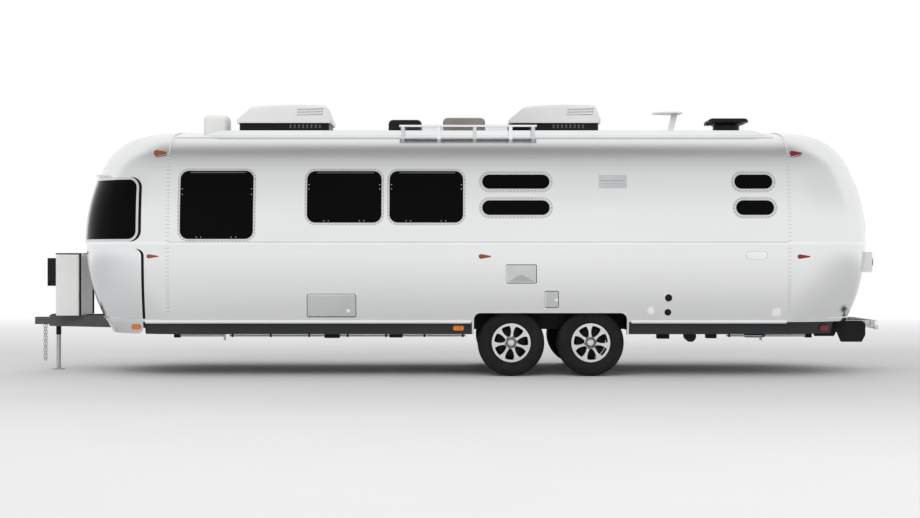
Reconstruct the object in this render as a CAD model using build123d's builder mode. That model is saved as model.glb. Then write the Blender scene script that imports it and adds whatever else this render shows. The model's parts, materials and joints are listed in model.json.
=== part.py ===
"""A 9.4 m aluminium travel caravan on two torsion axles, with an A-frame tongue, jack and ball coupler.

All sizes are in millimetres. X runs rearwards, Y to the kerb side (the side with the entry door) and Z up.
The origin is on the ground, in the middle of the overall length, on the centreline.
"""

from build123d import *
from math import asin, atan2, cos, degrees, sin, sqrt
import os

os.makedirs("parts", exist_ok=True)

# Clearances
FIT = 0.3  # seat of one curved piece on another
GAP = 7.0  # around doors, hatches and lids
LEAST_CORNER_R = 4.0

# Hull: the riveted monocoque
HALF_WIDTH = 1289.0
BELT_Z = 1430.0  # widest height
CROWN_Z = 2680.0
BASE_Z = 584.0  # lower edge of the side skins
SEAM_Z = 2246.0  # roof panels meet the side panels here
FLANK_UP_R = 3600.0  # side curvature above the belt
FLANK_LOW_R = 5700.0  # and below it
ROOF_R = 3880.0
SHOULDER_R = 580.0
WALL = 45.0
FRONT_SEAM_X = -2972.0  # straight barrel begins
REAR_SEAM_X = 3646.0  # and ends
FRONT_CAP = 1073.0  # length of the end caps
REAR_CAP = 1031.0
NOSE_PLAN_R = 3000.0
CORNER_R = 750.0
NOSE_UP_R = 1900.0
NOSE_LOW_R = 1750.0
CAP_ROOF_R = 2000.0

# Chassis
RAIL_TOP_Z = 622.0
RAIL_HEIGHT = 127.0
RAIL_WIDTH = 50.0
RAIL_Y = 640.0
FLOOR_THICK = 28.0
SKIRT_LOW_Z = 451.0
SKIRT_THICK = 6.0
SKIRT_INSET = 35.0
BELLY_THICK = 6.0

# Running gear
TYRE_R = 359.0
TYRE_WIDTH = 225.0
RIM_R = 190.5
TYRE_OUTER_Y = 1170.0
AXLE_X = {"front": 688.0, "rear": 1540.0}
SPINDLE_R = 22.0
DRUM_R = 152.0
TORSION_ARM = 165.0
AXLE_BEAM = 76.0
AXLE_BEAM_Z = 445.0
HUB_R = 66.0
CENTRE_CAP_R = 36.0
SPOKES = 7
SPOKE_FACE_Y = 90.0  # outer face of the spokes, from the middle of the wheel
SPOKE_DEEP = 34.0
SPOKE_PHASE = {"front": 84.0, "rear": 94.0}

# Wheel arches
ARCH_FRONT_X = 289.0
ARCH_REAR_X = 1920.0
ARCH_TOP_Z = 680.0
ARCH_CORNER_R = 70.0
ARCH_TRIM = 22.0
WELL_TOP_Z = 835.0
WELL_INNER_Y = 900.0
WELL_SHEET = 4.0

WHEEL_Y = TYRE_OUTER_Y - TYRE_WIDTH / 2
FLOOR_Z = RAIL_TOP_Z + FLOOR_THICK
RAIL_LOW_Z = RAIL_TOP_Z - RAIL_HEIGHT
ROOF_JOINT_X = (FRONT_SEAM_X + REAR_SEAM_X) / 2  # the two roof sheets meet here
LAP = ROOF_JOINT_X + 20 - FRONT_SEAM_X  # a cap's form runs on past its seam by this
LOW_CUT = 430.0  # the hull's form is modelled down to here
AWAY = 3000.0  # past the whole width, for cuts that run right through


def inset(radius, rise):
    """How far an arc of this radius falls back over this rise."""
    return radius - sqrt(radius**2 - rise**2)


def flank_y(z, t=0.0):
    """Half width of the hull's side at height z, t inside the skin (below the shoulder)."""
    radius = FLANK_UP_R if z > BELT_Z else FLANK_LOW_R
    return HALF_WIDTH - t - inset(radius - t, z - BELT_Z)


def roof_z(y):
    """Height of the roof skin at distance y from the centreline."""
    return CROWN_Z - inset(ROOF_R, y)


def hull_section(t):
    """Cross-section of the barrel on the YZ plane, t inside the skin, cut off flat below the skirts."""
    low = LOW_CUT
    high = CROWN_Z + 100
    with BuildSketch(Plane.YZ, mode=Mode.PRIVATE) as section:
        with BuildLine():
            Line((0, low), (flank_y(low, t), low))
            middle = (low + BELT_Z) / 2
            ThreePointArc((flank_y(low, t), low), (flank_y(middle, t), middle), (HALF_WIDTH - t, BELT_Z))
            middle = (high + BELT_Z) / 2
            ThreePointArc((HALF_WIDTH - t, BELT_Z), (flank_y(middle, t), middle), (flank_y(high, t), high))
            Line((flank_y(high, t), high), (0, high))
            mirror(about=Plane.YZ)
        make_face()
        with Locations((0, CROWN_Z - ROOF_R)):
            Circle(ROOF_R - t, mode=Mode.INTERSECT)
        fillet(section.vertices().sort_by(Axis.Y)[-2:], SHOULDER_R - t)
    return section.sketch


def barrel(t, start=FRONT_SEAM_X, end=REAR_SEAM_X):
    """Solid barrel of the hull, t inside the skin."""
    return Pos(start, 0, 0) * Solid.extrude(hull_section(t).face(), Vector(end - start, 0, 0))


def cap(t, length):
    """Solid end cap, t inside the skin, with its seam plane at x = 0 and its nose towards +X."""
    low = LOW_CUT
    high = CROWN_Z + 120
    nose = length - t

    def nose_x(z):
        radius = NOSE_UP_R if z > BELT_Z else NOSE_LOW_R
        return nose - inset(radius - t, z - BELT_Z)

    with BuildPart(mode=Mode.PRIVATE) as block:
        with BuildSketch(Plane.YZ.offset(-LAP)):
            with BuildLine():
                Line((0, low), (flank_y(low, t), low))
                middle = (low + BELT_Z) / 2
                ThreePointArc((flank_y(low, t), low), (flank_y(middle, t), middle), (HALF_WIDTH - t, BELT_Z))
                middle = (high + BELT_Z) / 2
                ThreePointArc((HALF_WIDTH - t, BELT_Z), (flank_y(middle, t), middle), (flank_y(high, t), high))
                Line((flank_y(high, t), high), (0, high))
                mirror(about=Plane.YZ)
            make_face()
        extrude(amount=length + 200 + LAP)
        pivot_x = length - NOSE_PLAN_R
        with BuildSketch(Plane.XZ):
            with BuildLine():
                Polyline((nose_x(low), low), (pivot_x, low), (pivot_x, high), (nose_x(high), high))
                middle = (low + BELT_Z) / 2
                ThreePointArc((nose_x(low), low), (nose_x(middle), middle), (nose, BELT_Z))
                middle = (high + BELT_Z) / 2
                ThreePointArc((nose, BELT_Z), (nose_x(middle), middle), (nose_x(high), high))
            make_face()
        revolve(axis=Axis((pivot_x, 0, 0), (0, 0, 1)), mode=Mode.INTERSECT)
    half = HALF_WIDTH + 200
    pivot_z = CROWN_Z - CAP_ROOF_R
    crown = CROWN_Z - t
    edge_z = crown - inset(ROOF_R - t, half)
    with BuildPart(mode=Mode.PRIVATE) as dome:
        with BuildSketch(Plane.YZ) as cross:
            with BuildLine():
                Polyline((half, edge_z), (half, pivot_z), (-half, pivot_z), (-half, edge_z))
                ThreePointArc((-half, edge_z), (0, crown), (half, edge_z))
            make_face()
        revolve(axis=Axis((0, 0, pivot_z), (0, 1, 0)), revolution_arc=90)
        extrude(cross.sketch, amount=-LAP)
        with Locations((-LAP, 0, pivot_z)):
            Box(CAP_ROOF_R + LAP, 2 * half, 1000, align=(Align.MIN, Align.CENTER, Align.MAX))
    solid = (block.part & dome.part).solid()
    corners = [
        e
        for e in solid.edges()
        if abs(e.center().Y) > HALF_WIDTH - 289 and e.center().X > 300 and e.bounding_box().size.Z > 300
    ]
    solid = solid.fillet(CORNER_R - t, corners)
    rim = []
    for e in solid.edges():
        middle, size = e.center(), e.bounding_box().size
        outward = abs(middle.Y) > 600 or middle.X > 400
        if middle.Z > 2300 and outward and middle.X > 5 - LAP and size.X + size.Y > 100 and size.Z < 300:
            rim.append(e)
    return solid.fillet(SHOULDER_R - t, rim)


caps = {}


def front_cap(t):
    """Front end cap in place, modelled once for each depth."""
    if ("front", t) not in caps:
        caps["front", t] = Pos(FRONT_SEAM_X, 0, 0) * cap(t, FRONT_CAP).mirror(Plane.YZ)
    return caps["front", t]


def rear_cap(t):
    """Rear end cap in place, modelled once for each depth."""
    if ("rear", t) not in caps:
        caps["rear", t] = Pos(REAR_SEAM_X, 0, 0) * cap(t, REAR_CAP)
    return caps["rear", t]


def slab(low, high, start=-6000.0, end=6000.0, inner=-AWAY, outer=AWAY):
    """Axis-aligned block between two heights, two stations along X and two across Y."""
    return Solid.make_box(end - start, outer - inner, high - low, Plane((start, inner, low)))


def side_prism(outline, side, inner=700.0, outer=1500.0):
    """Extrude an XZ outline through one flank (side -1 street, +1 kerb)."""
    body = Solid.extrude(outline, Vector(0, outer - inner, 0))
    return Pos(0, inner if side > 0 else -outer, 0) * body


def window_outline(x0, x1, z0, z1, radius, grow=0.0):
    """Rounded XZ outline between two stations and two heights, grown outwards all round."""
    middle = Plane(((x0 + x1) / 2, 0, (z0 + z1) / 2), x_dir=(1, 0, 0), z_dir=(0, -1, 0))
    wide, tall = x1 - x0 + 2 * grow, z1 - z0 + 2 * grow
    face = Face.make_rect(wide, tall, middle)
    corner = min(max(radius + grow, LEAST_CORNER_R), tall / 2 - 0.1)
    return face.fillet_2d(corner, face.vertices())


def cylinder_y(x, z, radius, y0, y1):
    """Cylinder along Y between two planes."""
    return Solid.make_cylinder(radius, y1 - y0, Plane((x, y0, z), z_dir=(0, 1, 0)))


def cylinder_z(x, y, radius, z0, z1):
    """Upright cylinder between two heights."""
    return Solid.make_cylinder(radius, z1 - z0, Plane((x, y, z0)))


def cylinder_x(y, z, radius, x0, x1):
    """Cylinder along X between two stations."""
    return Solid.make_cylinder(radius, x1 - x0, Plane((x0, y, z), z_dir=(1, 0, 0)))


def block(length, width, height):
    """Box centred on the origin."""
    return Solid.make_box(length, width, height, Plane((-length / 2, -width / 2, -height / 2)))


def bar(start, end, width, height):
    """Rectangular bar between two points at the same height, measured at its middle."""
    dx, dy = end[0] - start[0], end[1] - start[1]
    turn = degrees(atan2(dy, dx))
    centre = ((start[0] + end[0]) / 2, (start[1] + end[1]) / 2, (start[2] + end[2]) / 2)
    return Pos(*centre) * Rot(0, 0, turn) * block(sqrt(dx**2 + dy**2), width, height)


def front_skin(t_out, t_in, low, high, start=-6000.0):
    """Slice of the front end cap between two depths, from the seam forwards."""
    return (front_cap(t_out) & slab(low, high, start, FRONT_SEAM_X)) - front_cap(t_in)


def rear_skin(t_out, t_in, low, high, end=6000.0):
    """Slice of the rear end cap between two depths, from the seam rearwards."""
    return (rear_cap(t_out) & slab(low, high, REAR_SEAM_X, end)) - rear_cap(t_in)


def side_skin(t_out, t_in, low, high, side, start=FRONT_SEAM_X, end=REAR_SEAM_X):
    """Slice of one flank of the barrel between two depths."""
    low_y, high_y = (-AWAY, 0) if side < 0 else (0, AWAY)
    return (barrel(t_out) & slab(low, high, start, end, low_y, high_y)) - barrel(t_in)


# Windows: side, front edge, rear edge, lower edge, upper edge, corner radius
WINDOWS = [
    (-1, -2845, -2054, 1462, 2204, 95),
    (-1, -1495, -689, 1636, 2201, 95),
    (-1, -617, 180, 1636, 2201, 95),
    (-1, 370, 1100, 1998, 2163, 82),
    (-1, 370, 1100, 1718, 1887, 84),
    (-1, 3058, 3475, 1998, 2163, 82),
    (-1, 3071, 3487, 1718, 1887, 84),
    (1, -2845, -2054, 1462, 2204, 95),
    (1, -1495, -800, 1636, 2201, 95),
    (1, 369, 1175, 1636, 2201, 95),
    (1, 1480, 2210, 1718, 1887, 84),
    (1, 3071, 3487, 1718, 1887, 84),
]
# Outer doors cut from the skin: front edge, rear edge, lower edge, upper edge, corner radius
STORAGE_DOOR = (-1492, -965, 634, 884, 20)
STORAGE_LEAF = (-1485, -972, 644, 877, 14)
HEATER_DOOR = (629, 958, 995, 1198, 16)
SERVICE_DOOR = (1039, 1192, 736, 916, 14)
# Latch of a storage door: square plate and round lock
LATCH_PLATE = (-1090, -1002, 664, 748, 8)
LATCH_X = -1046.0
LATCH_Z = 706.0
LATCH_R = 22.0
# Entry doorway on the kerb side
DOOR_FRONT_X = -655.0
DOOR_REAR_X = 45.0
DOOR_LOW_Z = 634.0
DOOR_HIGH_Z = 2360.0
DOOR_HINGE_Y = 1312.0
DOOR_WINDOW = (-500, -130, 1560, 2120, 90)
DOOR_LATCH = (-75, -15, 1080, 1260, 20)
# Grab handle behind the doorway
GRAB_X = 130.0
GRAB_Y = 1310.0
GRAB_R = 9.0
GRAB_POST_R = 6.5
GRAB_ENDS = (1020.0, 1360.0)
# Glass of the end caps
CAP_GLASS_LOW = 1462.0
CAP_GLASS_HIGH = 2112.0
CORNER_GLASS_X = -3300.0
CORNER_GLASS_R = 95.0
POST_Y = 560.0
POST_HALF = 25.0
REAR_GLASS_HALF = 560.0
FRAME_WIDE = 20.0
FRAME_LAP = 6.0
NOSE_X = -4900.0  # ahead of the nose, for outlines that wrap round it
# Stone guards of the front corners: front edge, rear edge, lower edge, upper edge, corner radius
STONE_GUARD = (NOSE_X, -3250, 455, 1362, 75)
GUARD_THICK = 3.2
GUARD_HALF_GAP = 330.0
SEAL_SHIFT = 28.0  # black seals show behind the rear edges of guard and corner glass
BELT_LOW_Z = 1410.0
BELT_HIGH_Z = 1440.0
RUB_RAIL_Z = BASE_Z + 34
TRIM_PROUD = 12.0

# Hinges: running clearance, pin and tube radii
RUN = 0.1
PIN_R = 3.0
TUBE_R = 5.5
STORAGE_HINGE_Y = 1270.0
STORAGE_HINGE_Z = 881.0
# Small doors with an upright hinge: outline, hinge station, hinge distance from the centreline
UPRIGHT_HINGES = {
    "heater": (HEATER_DOOR, HEATER_DOOR[0] + 3, 1296.0),
    "service": (SERVICE_DOOR, SERVICE_DOOR[0] + 3, 1278.0),
}
DOOR_HINGE_HEIGHTS = (950.0, 1330.0, 1800.0)
DOOR_HINGE_LENGTH = 90.0


def storage_hinge(side):
    """Fixed half of a storage door's hinge: a pin between two lugs on the skin."""
    front_x, rear_x = STORAGE_DOOR[0], STORAGE_DOOR[1]
    y = side * STORAGE_HINGE_Y
    low_y, high_y = sorted((side * (STORAGE_HINGE_Y - 22), side * (STORAGE_HINGE_Y + TUBE_R)))
    half = cylinder_x(y, STORAGE_HINGE_Z, PIN_R, front_x - 10, rear_x + 10)
    for start in (front_x - 14, rear_x):
        half += slab(STORAGE_HINGE_Z - 9, STORAGE_HINGE_Z + 11, start, start + 14, low_y, high_y)
    return half


def storage_leaf(side):
    """Storage door with its hinge tube along the top edge."""
    front_x, rear_x, low_z, high_z, radius = STORAGE_LEAF
    y = side * STORAGE_HINGE_Y
    outline = side_prism(window_outline(*STORAGE_LEAF), side)
    leaf = (barrel(-1, front_x - 50, rear_x + 50) & outline) - barrel(14, front_x - 50, rear_x + 50)
    low_y, high_y = sorted((side * (STORAGE_HINGE_Y - 14), side * (STORAGE_HINGE_Y + 3)))
    leaf += slab(high_z - 15, STORAGE_HINGE_Z, front_x + 5, rear_x - 5, low_y, high_y)
    leaf += cylinder_x(y, STORAGE_HINGE_Z, TUBE_R, front_x + 5, rear_x - 5)
    near = barrel(10, front_x - 50, rear_x + 50)
    rim = side_prism(window_outline(*STORAGE_LEAF), side) - side_prism(window_outline(*STORAGE_LEAF, grow=-18), side)
    leaf += (barrel(-4, front_x - 50, rear_x + 50) & rim & slab(low_z, high_z - 20)) - near
    leaf += (barrel(-6, front_x - 50, rear_x + 50) & side_prism(window_outline(*LATCH_PLATE), side)) - near
    leaf += cylinder_y(LATCH_X, LATCH_Z, LATCH_R, *sorted((side * 1240, side * 1279)))
    return leaf - cylinder_x(y, STORAGE_HINGE_Z, PIN_R + RUN, front_x - 20, rear_x + 20)


def upright_hinge(name):
    """Fixed half of a small door's upright hinge."""
    outline, hinge_x, hinge_y = UPRIGHT_HINGES[name]
    low_z, high_z = outline[2], outline[3]
    half = cylinder_z(hinge_x, -hinge_y, PIN_R, low_z - 8, high_z + 8)
    for start in (low_z - 12, high_z):
        half += slab(start, start + 12, hinge_x - 8, hinge_x + 6, -hinge_y - 4, 50 - hinge_y)
    return half


def upright_leaf(name):
    """Small flat door that stands proud of the skin, with its hinge tube along the front edge."""
    outline, hinge_x, hinge_y = UPRIGHT_HINGES[name]
    low_z, high_z = outline[2] + GAP, outline[3] - GAP
    prism = side_prism(window_outline(*outline, grow=-GAP), -1)
    leaf = (barrel(-8, hinge_x - 50, hinge_x + 400) & prism) - barrel(14, hinge_x - 50, hinge_x + 400)
    leaf += slab(low_z + 3, high_z - 3, hinge_x, outline[0] + GAP + 12, -hinge_y - 3, 24 - hinge_y) - barrel(14)
    leaf += cylinder_z(hinge_x, -hinge_y, TUBE_R, low_z + 3, high_z - 3)
    return leaf - cylinder_z(hinge_x, -hinge_y, PIN_R + RUN, low_z - 20, high_z + 20)


door_sweep = cylinder_z(DOOR_FRONT_X, DOOR_HINGE_Y, DOOR_REAR_X - DOOR_FRONT_X, 300, 3000)
doorway = side_prism(window_outline(DOOR_FRONT_X, DOOR_REAR_X + 90, DOOR_LOW_Z, DOOR_HIGH_Z, 90), 1) & door_sweep
arch_left = side_prism(window_outline(ARCH_FRONT_X, ARCH_REAR_X, 200, ARCH_TOP_Z, ARCH_CORNER_R), -1)
arch_right = side_prism(window_outline(ARCH_FRONT_X, ARCH_REAR_X, 200, ARCH_TOP_Z, ARCH_CORNER_R), 1)


def corner_pane(side, grow=0.0):
    """Prism of a front corner pane, whose rear corners are rounded."""
    outline = window_outline(NOSE_X, CORNER_GLASS_X, CAP_GLASS_LOW, CAP_GLASS_HIGH, CORNER_GLASS_R, grow)
    return side_prism(outline, side, POST_Y + POST_HALF - grow)


def middle_pane(grow=0.0):
    """Prism of the pane between the two front posts."""
    half = POST_Y - POST_HALF + grow
    return slab(CAP_GLASS_LOW - grow, CAP_GLASS_HIGH + grow, NOSE_X, CORNER_GLASS_X, -half, half)


def guard_prism(side, shift=0.0, grow=0.0):
    """Prism of a stone guard's outline, its rear edge moved back by shift."""
    front_x, rear_x, low_z, high_z, radius = STONE_GUARD
    outline = window_outline(front_x, rear_x + shift, low_z, high_z, radius, grow)
    return side_prism(outline, side, GUARD_HALF_GAP)


def teardrop(front_x, rear_x, low_z, high_z, grow=0.0):
    """Lamp outline on the XZ plane, round in front and tapering to a blunt tail."""
    radius = (high_z - low_z) / 2 + grow
    start = front_x - grow + radius
    tail = rear_x + grow - start
    with BuildSketch(Plane((start, 0, (low_z + high_z) / 2), x_dir=(1, 0, 0), z_dir=(0, -1, 0)), mode=Mode.PRIVATE) as lens:
        with BuildLine():
            ThreePointArc((0, radius), (-radius, 0), (0, -radius))
            Polyline((0, -radius), (tail, -radius / 4), (tail, radius / 4), (0, radius))
        make_face()
    return lens.sketch.face()


def rear_prism(grow):
    """Prism of the rear window, grown all round."""
    middle = Plane((4200, 0, 1830), x_dir=(0, 1, 0), z_dir=(1, 0, 0))
    face = Face.make_rect(2 * (REAR_GLASS_HALF + grow), 2 * (260 + grow), middle)
    return Solid.extrude(face.fillet_2d(90 + grow, face.vertices()), Vector(900, 0, 0))


TONGUE_TIP_X = -4540.0


def tongue_bar(side, grow=0.0):
    """One rail of the A-frame, grown in width and height for its notch in the skin."""
    return bar((TONGUE_TIP_X, side * 56, 558.5), (-3230, side * 655, 558.5), RAIL_WIDTH + grow, RAIL_HEIGHT + grow)


# Shell
with BuildPart() as shell_front:
    add(front_skin(0, WALL, BASE_Z, 3000))
    add(middle_pane(), mode=Mode.SUBTRACT)
    for side in (-1, 1):
        add(corner_pane(side), mode=Mode.SUBTRACT)
        add(tongue_bar(side, 8), mode=Mode.SUBTRACT)
shell_front.part.label = "shell_front"

with BuildPart() as shell_rear:
    add(rear_skin(0, WALL, BASE_Z, 3000))
    add(rear_prism(0), mode=Mode.SUBTRACT)
shell_rear.part.label = "shell_rear"

with BuildPart() as wall_left:
    add(side_skin(0, WALL, BASE_Z, SEAM_Z, -1))
    for side, *window in WINDOWS:
        if side < 0:
            add(side_prism(window_outline(*window), side), mode=Mode.SUBTRACT)
    for spec in (STORAGE_DOOR, HEATER_DOOR, SERVICE_DOOR):
        add(side_prism(window_outline(*spec), -1), mode=Mode.SUBTRACT)
    add(arch_left, mode=Mode.SUBTRACT)
    add(storage_hinge(-1))
    for name in UPRIGHT_HINGES:
        add(upright_hinge(name))
wall_left.part.label = "wall_left"

with BuildPart() as wall_right:
    add(side_skin(0, WALL, BASE_Z, SEAM_Z, 1))
    for side, *window in WINDOWS:
        if side > 0:
            add(side_prism(window_outline(*window), side), mode=Mode.SUBTRACT)
    add(side_prism(window_outline(*STORAGE_DOOR), 1), mode=Mode.SUBTRACT)
    add(doorway, mode=Mode.SUBTRACT)
    add(arch_right, mode=Mode.SUBTRACT)
    add(storage_hinge(1))
    for z in DOOR_HINGE_HEIGHTS:
        reach = DOOR_HINGE_LENGTH / 2
        add(cylinder_z(DOOR_FRONT_X, DOOR_HINGE_Y, PIN_R + 1, z - reach - 8, z + reach + 8))
        for low in (z - reach - 14, z + reach + 2):
            add(slab(low, low + 12, DOOR_FRONT_X - 45, DOOR_FRONT_X + 4, 1240, DOOR_HINGE_Y + 6))
    for z in GRAB_ENDS:
        add(cylinder_y(GRAB_X, z, GRAB_POST_R, 1262, GRAB_Y))
    add(cylinder_z(GRAB_X, GRAB_Y, GRAB_R, GRAB_ENDS[0] - 15, GRAB_ENDS[1] + 15))
wall_right.part.label = "wall_right"

with BuildPart() as roof:
    add((front_cap(0) & slab(SEAM_Z, 3000, FRONT_SEAM_X, ROOF_JOINT_X - FIT / 2)) - front_cap(WALL))
    add((rear_cap(0) & slab(SEAM_Z, 3000, ROOF_JOINT_X + FIT / 2, REAR_SEAM_X)) - rear_cap(WALL))
    add(doorway, mode=Mode.SUBTRACT)
roof.part.label = "roof"

with BuildPart() as floor:
    add(slab(RAIL_TOP_Z, FLOOR_Z, FRONT_SEAM_X + 1, REAR_SEAM_X - 1) & barrel(WALL + 0.5))
    add(front_cap(WALL + 0.5) & slab(RAIL_TOP_Z, FLOOR_Z, -6000, FRONT_SEAM_X + 1))
    add(rear_cap(WALL + 0.5) & slab(RAIL_TOP_Z, FLOOR_Z, REAR_SEAM_X - 1, 6000))
    for side in (-1, 1):
        low_y, high_y = sorted((side * WELL_INNER_Y, side * AWAY))
        add(slab(500, 900, ARCH_FRONT_X - 6, ARCH_REAR_X + 6, low_y, high_y), mode=Mode.SUBTRACT)
    add(slab(500, 900, DOOR_FRONT_X - 20, DOOR_REAR_X + 20, 1180, AWAY), mode=Mode.SUBTRACT)
floor.part.label = "floor"

# Mouldings
with BuildPart() as mouldings:
    add(front_skin(-TRIM_PROUD, -FIT, BASE_Z, RUB_RAIL_Z))
    add(rear_skin(-TRIM_PROUD, -FIT, BASE_Z, RUB_RAIL_Z))
    for side in (-1, 1):
        add(side_skin(-TRIM_PROUD, -FIT, BASE_Z, RUB_RAIL_Z, side))
    add(arch_left, mode=Mode.SUBTRACT)
    add(arch_right, mode=Mode.SUBTRACT)
    for side in (-1, 1):
        add(tongue_bar(side, 8), mode=Mode.SUBTRACT)
    add(front_skin(-7, -FIT, BELT_LOW_Z, BELT_HIGH_Z))
    add(rear_skin(-7, -FIT, BELT_LOW_Z, BELT_HIGH_Z))
    for side in (-1, 1):
        add(side_skin(-7, -FIT, BELT_LOW_Z, BELT_HIGH_Z, side))
    add(doorway, mode=Mode.SUBTRACT)
    for side, arch in ((-1, arch_left), (1, arch_right)):
        edge = side_prism(window_outline(ARCH_FRONT_X, ARCH_REAR_X, 200, ARCH_TOP_Z, ARCH_CORNER_R, ARCH_TRIM), side)
        skin = side_skin(-TRIM_PROUD, -FIT, RUB_RAIL_Z + 0.5, 760, side, 200, 2000)
        add((skin & edge) - arch)
        for start in (ARCH_FRONT_X - ARCH_TRIM, ARCH_REAR_X):
            add(side_skin(-TRIM_PROUD, SKIRT_INSET - FIT, SKIRT_LOW_Z + 4, BASE_Z, side, start, start + ARCH_TRIM))
mouldings.part.label = "mouldings"

with BuildPart() as front_guards:
    guard = front_skin(-GUARD_THICK, -FIT, 440, 1400)
    for side in (-1, 1):
        add(guard & guard_prism(side))
    add(slab(BASE_Z - 0.5, RUB_RAIL_Z + 0.5), mode=Mode.SUBTRACT)
    add(slab(0, RAIL_TOP_Z + 30, -6000, 0, -480, 480), mode=Mode.SUBTRACT)
front_guards.part.label = "front_guards"

with BuildPart() as edge_seals:
    guard_edge = front_skin(-GUARD_THICK, -FIT, 440, 1400)
    glass_edge = front_skin(-GUARD_THICK, -FIT, CAP_GLASS_LOW - 40, CAP_GLASS_HIGH + 40)
    for side in (-1, 1):
        add(guard_edge & (guard_prism(side, SEAL_SHIFT) - guard_prism(side, grow=FIT)))
        shifted = window_outline(
            NOSE_X, CORNER_GLASS_X + SEAL_SHIFT, CAP_GLASS_LOW, CAP_GLASS_HIGH, CORNER_GLASS_R, FRAME_WIDE
        )
        add(glass_edge & (side_prism(shifted, side) - corner_pane(side, FRAME_WIDE + FIT)))
    add(slab(0, RUB_RAIL_Z + 0.5), mode=Mode.SUBTRACT)
edge_seals.part.label = "edge_seals"

with BuildPart() as skirts:
    add(front_skin(SKIRT_INSET, SKIRT_INSET + SKIRT_THICK, SKIRT_LOW_Z, BASE_Z) & slab(0, 3000, -3240, 0))
    add(rear_skin(SKIRT_INSET, SKIRT_INSET + SKIRT_THICK, SKIRT_LOW_Z, BASE_Z, 4180))
    for side in (-1, 1):
        add(side_skin(SKIRT_INSET, SKIRT_INSET + SKIRT_THICK, SKIRT_LOW_Z, BASE_Z, side))
    add(arch_left, mode=Mode.SUBTRACT)
    add(arch_right, mode=Mode.SUBTRACT)
    for start, end, half in ((-3190, 250, 1080), (1960, 3900, 1080), (3900, 4100, 880), (4100, 4260, 600)):
        add(slab(RAIL_LOW_Z - BELLY_THICK, RAIL_LOW_Z, start, end, -half, half))
skirts.part.label = "skirts"

with BuildPart() as wheel_wells:
    for side in (-1, 1):
        low_y, high_y = sorted((side * WELL_INNER_Y, side * 1162))
        add(slab(RAIL_LOW_Z, WELL_TOP_Z, ARCH_FRONT_X - 6, ARCH_REAR_X + 6, low_y, high_y))
        low_y, high_y = (WELL_INNER_Y + WELL_SHEET, 2000) if side > 0 else (-2000, -WELL_INNER_Y - WELL_SHEET)
        front_x, rear_x = ARCH_FRONT_X - 6 + WELL_SHEET, ARCH_REAR_X + 6 - WELL_SHEET
        add(slab(0, WELL_TOP_Z - WELL_SHEET, front_x, rear_x, low_y, high_y), mode=Mode.SUBTRACT)
wheel_wells.part.label = "wheel_wells"

# Glass
with BuildPart() as window_glass:
    for side in (-1, 1):
        skin = side_skin(0.5, 6, 1400, SEAM_Z, side)
        for window_side, *window in WINDOWS:
            if window_side == side:
                add(skin & side_prism(window_outline(*window, grow=-0.5), side))
    skin = front_skin(0.5, 7, CAP_GLASS_LOW - 10, CAP_GLASS_HIGH + 10)
    add(skin & middle_pane(-0.5))
    for side in (-1, 1):
        add(skin & corner_pane(side, -0.5))
    add(rear_skin(0.5, 7, 1500, 2200) & rear_prism(-0.5))
window_glass.part.label = "window_glass"

with BuildPart() as window_frames:
    for side in (-1, 1):
        skin = side_skin(-6, -FIT, 1400, SEAM_Z, side)
        for window_side, *window in WINDOWS:
            if window_side == side:
                wide = 1.5 * FRAME_WIDE if window[3] - window[2] < 200 else FRAME_WIDE
                rim = side_prism(window_outline(*window, grow=wide), side)
                add(skin & (rim - side_prism(window_outline(*window, grow=-FRAME_LAP), side)))
    skin = front_skin(-TRIM_PROUD, -FIT, CAP_GLASS_LOW - 40, CAP_GLASS_HIGH + 40)
    outline = window_outline(NOSE_X, CORNER_GLASS_X, CAP_GLASS_LOW, CAP_GLASS_HIGH, CORNER_GLASS_R, FRAME_WIDE)
    for side in (-1, 1):
        add(skin & side_prism(outline, side, 0))
    add(middle_pane(-FRAME_LAP), mode=Mode.SUBTRACT)
    for side in (-1, 1):
        add(corner_pane(side, -FRAME_LAP), mode=Mode.SUBTRACT)
    add(rear_skin(-7, -FIT, 1500, 2200) & (rear_prism(FRAME_WIDE) - rear_prism(-FRAME_LAP)))
window_frames.part.label = "window_frames"

# Doors and hatches
with BuildPart() as entry_door:
    leaf = side_prism(window_outline(DOOR_FRONT_X, DOOR_REAR_X + 90, DOOR_LOW_Z, DOOR_HIGH_Z, 90, -GAP), 1)
    leaf &= cylinder_z(DOOR_FRONT_X, DOOR_HINGE_Y, DOOR_REAR_X - DOOR_FRONT_X - GAP, 300, 3000)
    leaf -= side_prism(window_outline(*DOOR_WINDOW), 1)
    add((barrel(0, -800, 200) & leaf) - barrel(WALL, -800, 200))
    add((barrel(-7, -800, 200) & leaf & slab(BELT_LOW_Z, BELT_HIGH_Z)) - barrel(1, -800, 200))
    add((barrel(-10, -800, 200) & side_prism(window_outline(*DOOR_LATCH), 1)) - barrel(1, -800, 200))
    window_rim = side_prism(window_outline(*DOOR_WINDOW, grow=FRAME_WIDE), 1)
    window_rim -= side_prism(window_outline(*DOOR_WINDOW), 1)
    add((barrel(-6, -800, 200) & window_rim) - barrel(1, -800, 200))
    for z in DOOR_HINGE_HEIGHTS:
        low, high = z - DOOR_HINGE_LENGTH / 2, z + DOOR_HINGE_LENGTH / 2
        add(slab(low, high, DOOR_FRONT_X, DOOR_FRONT_X + 40, 1250, DOOR_HINGE_Y + 4))
        add(cylinder_z(DOOR_FRONT_X, DOOR_HINGE_Y, 8, low, high))
        add(slab(low, high, DOOR_FRONT_X - 20, DOOR_FRONT_X + GAP, 1200, DOOR_HINGE_Y - 8), mode=Mode.SUBTRACT)
        add(cylinder_z(DOOR_FRONT_X, DOOR_HINGE_Y, PIN_R + 1 + RUN, low - 5, high + 5), mode=Mode.SUBTRACT)
entry_door.part.label = "entry_door"

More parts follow.
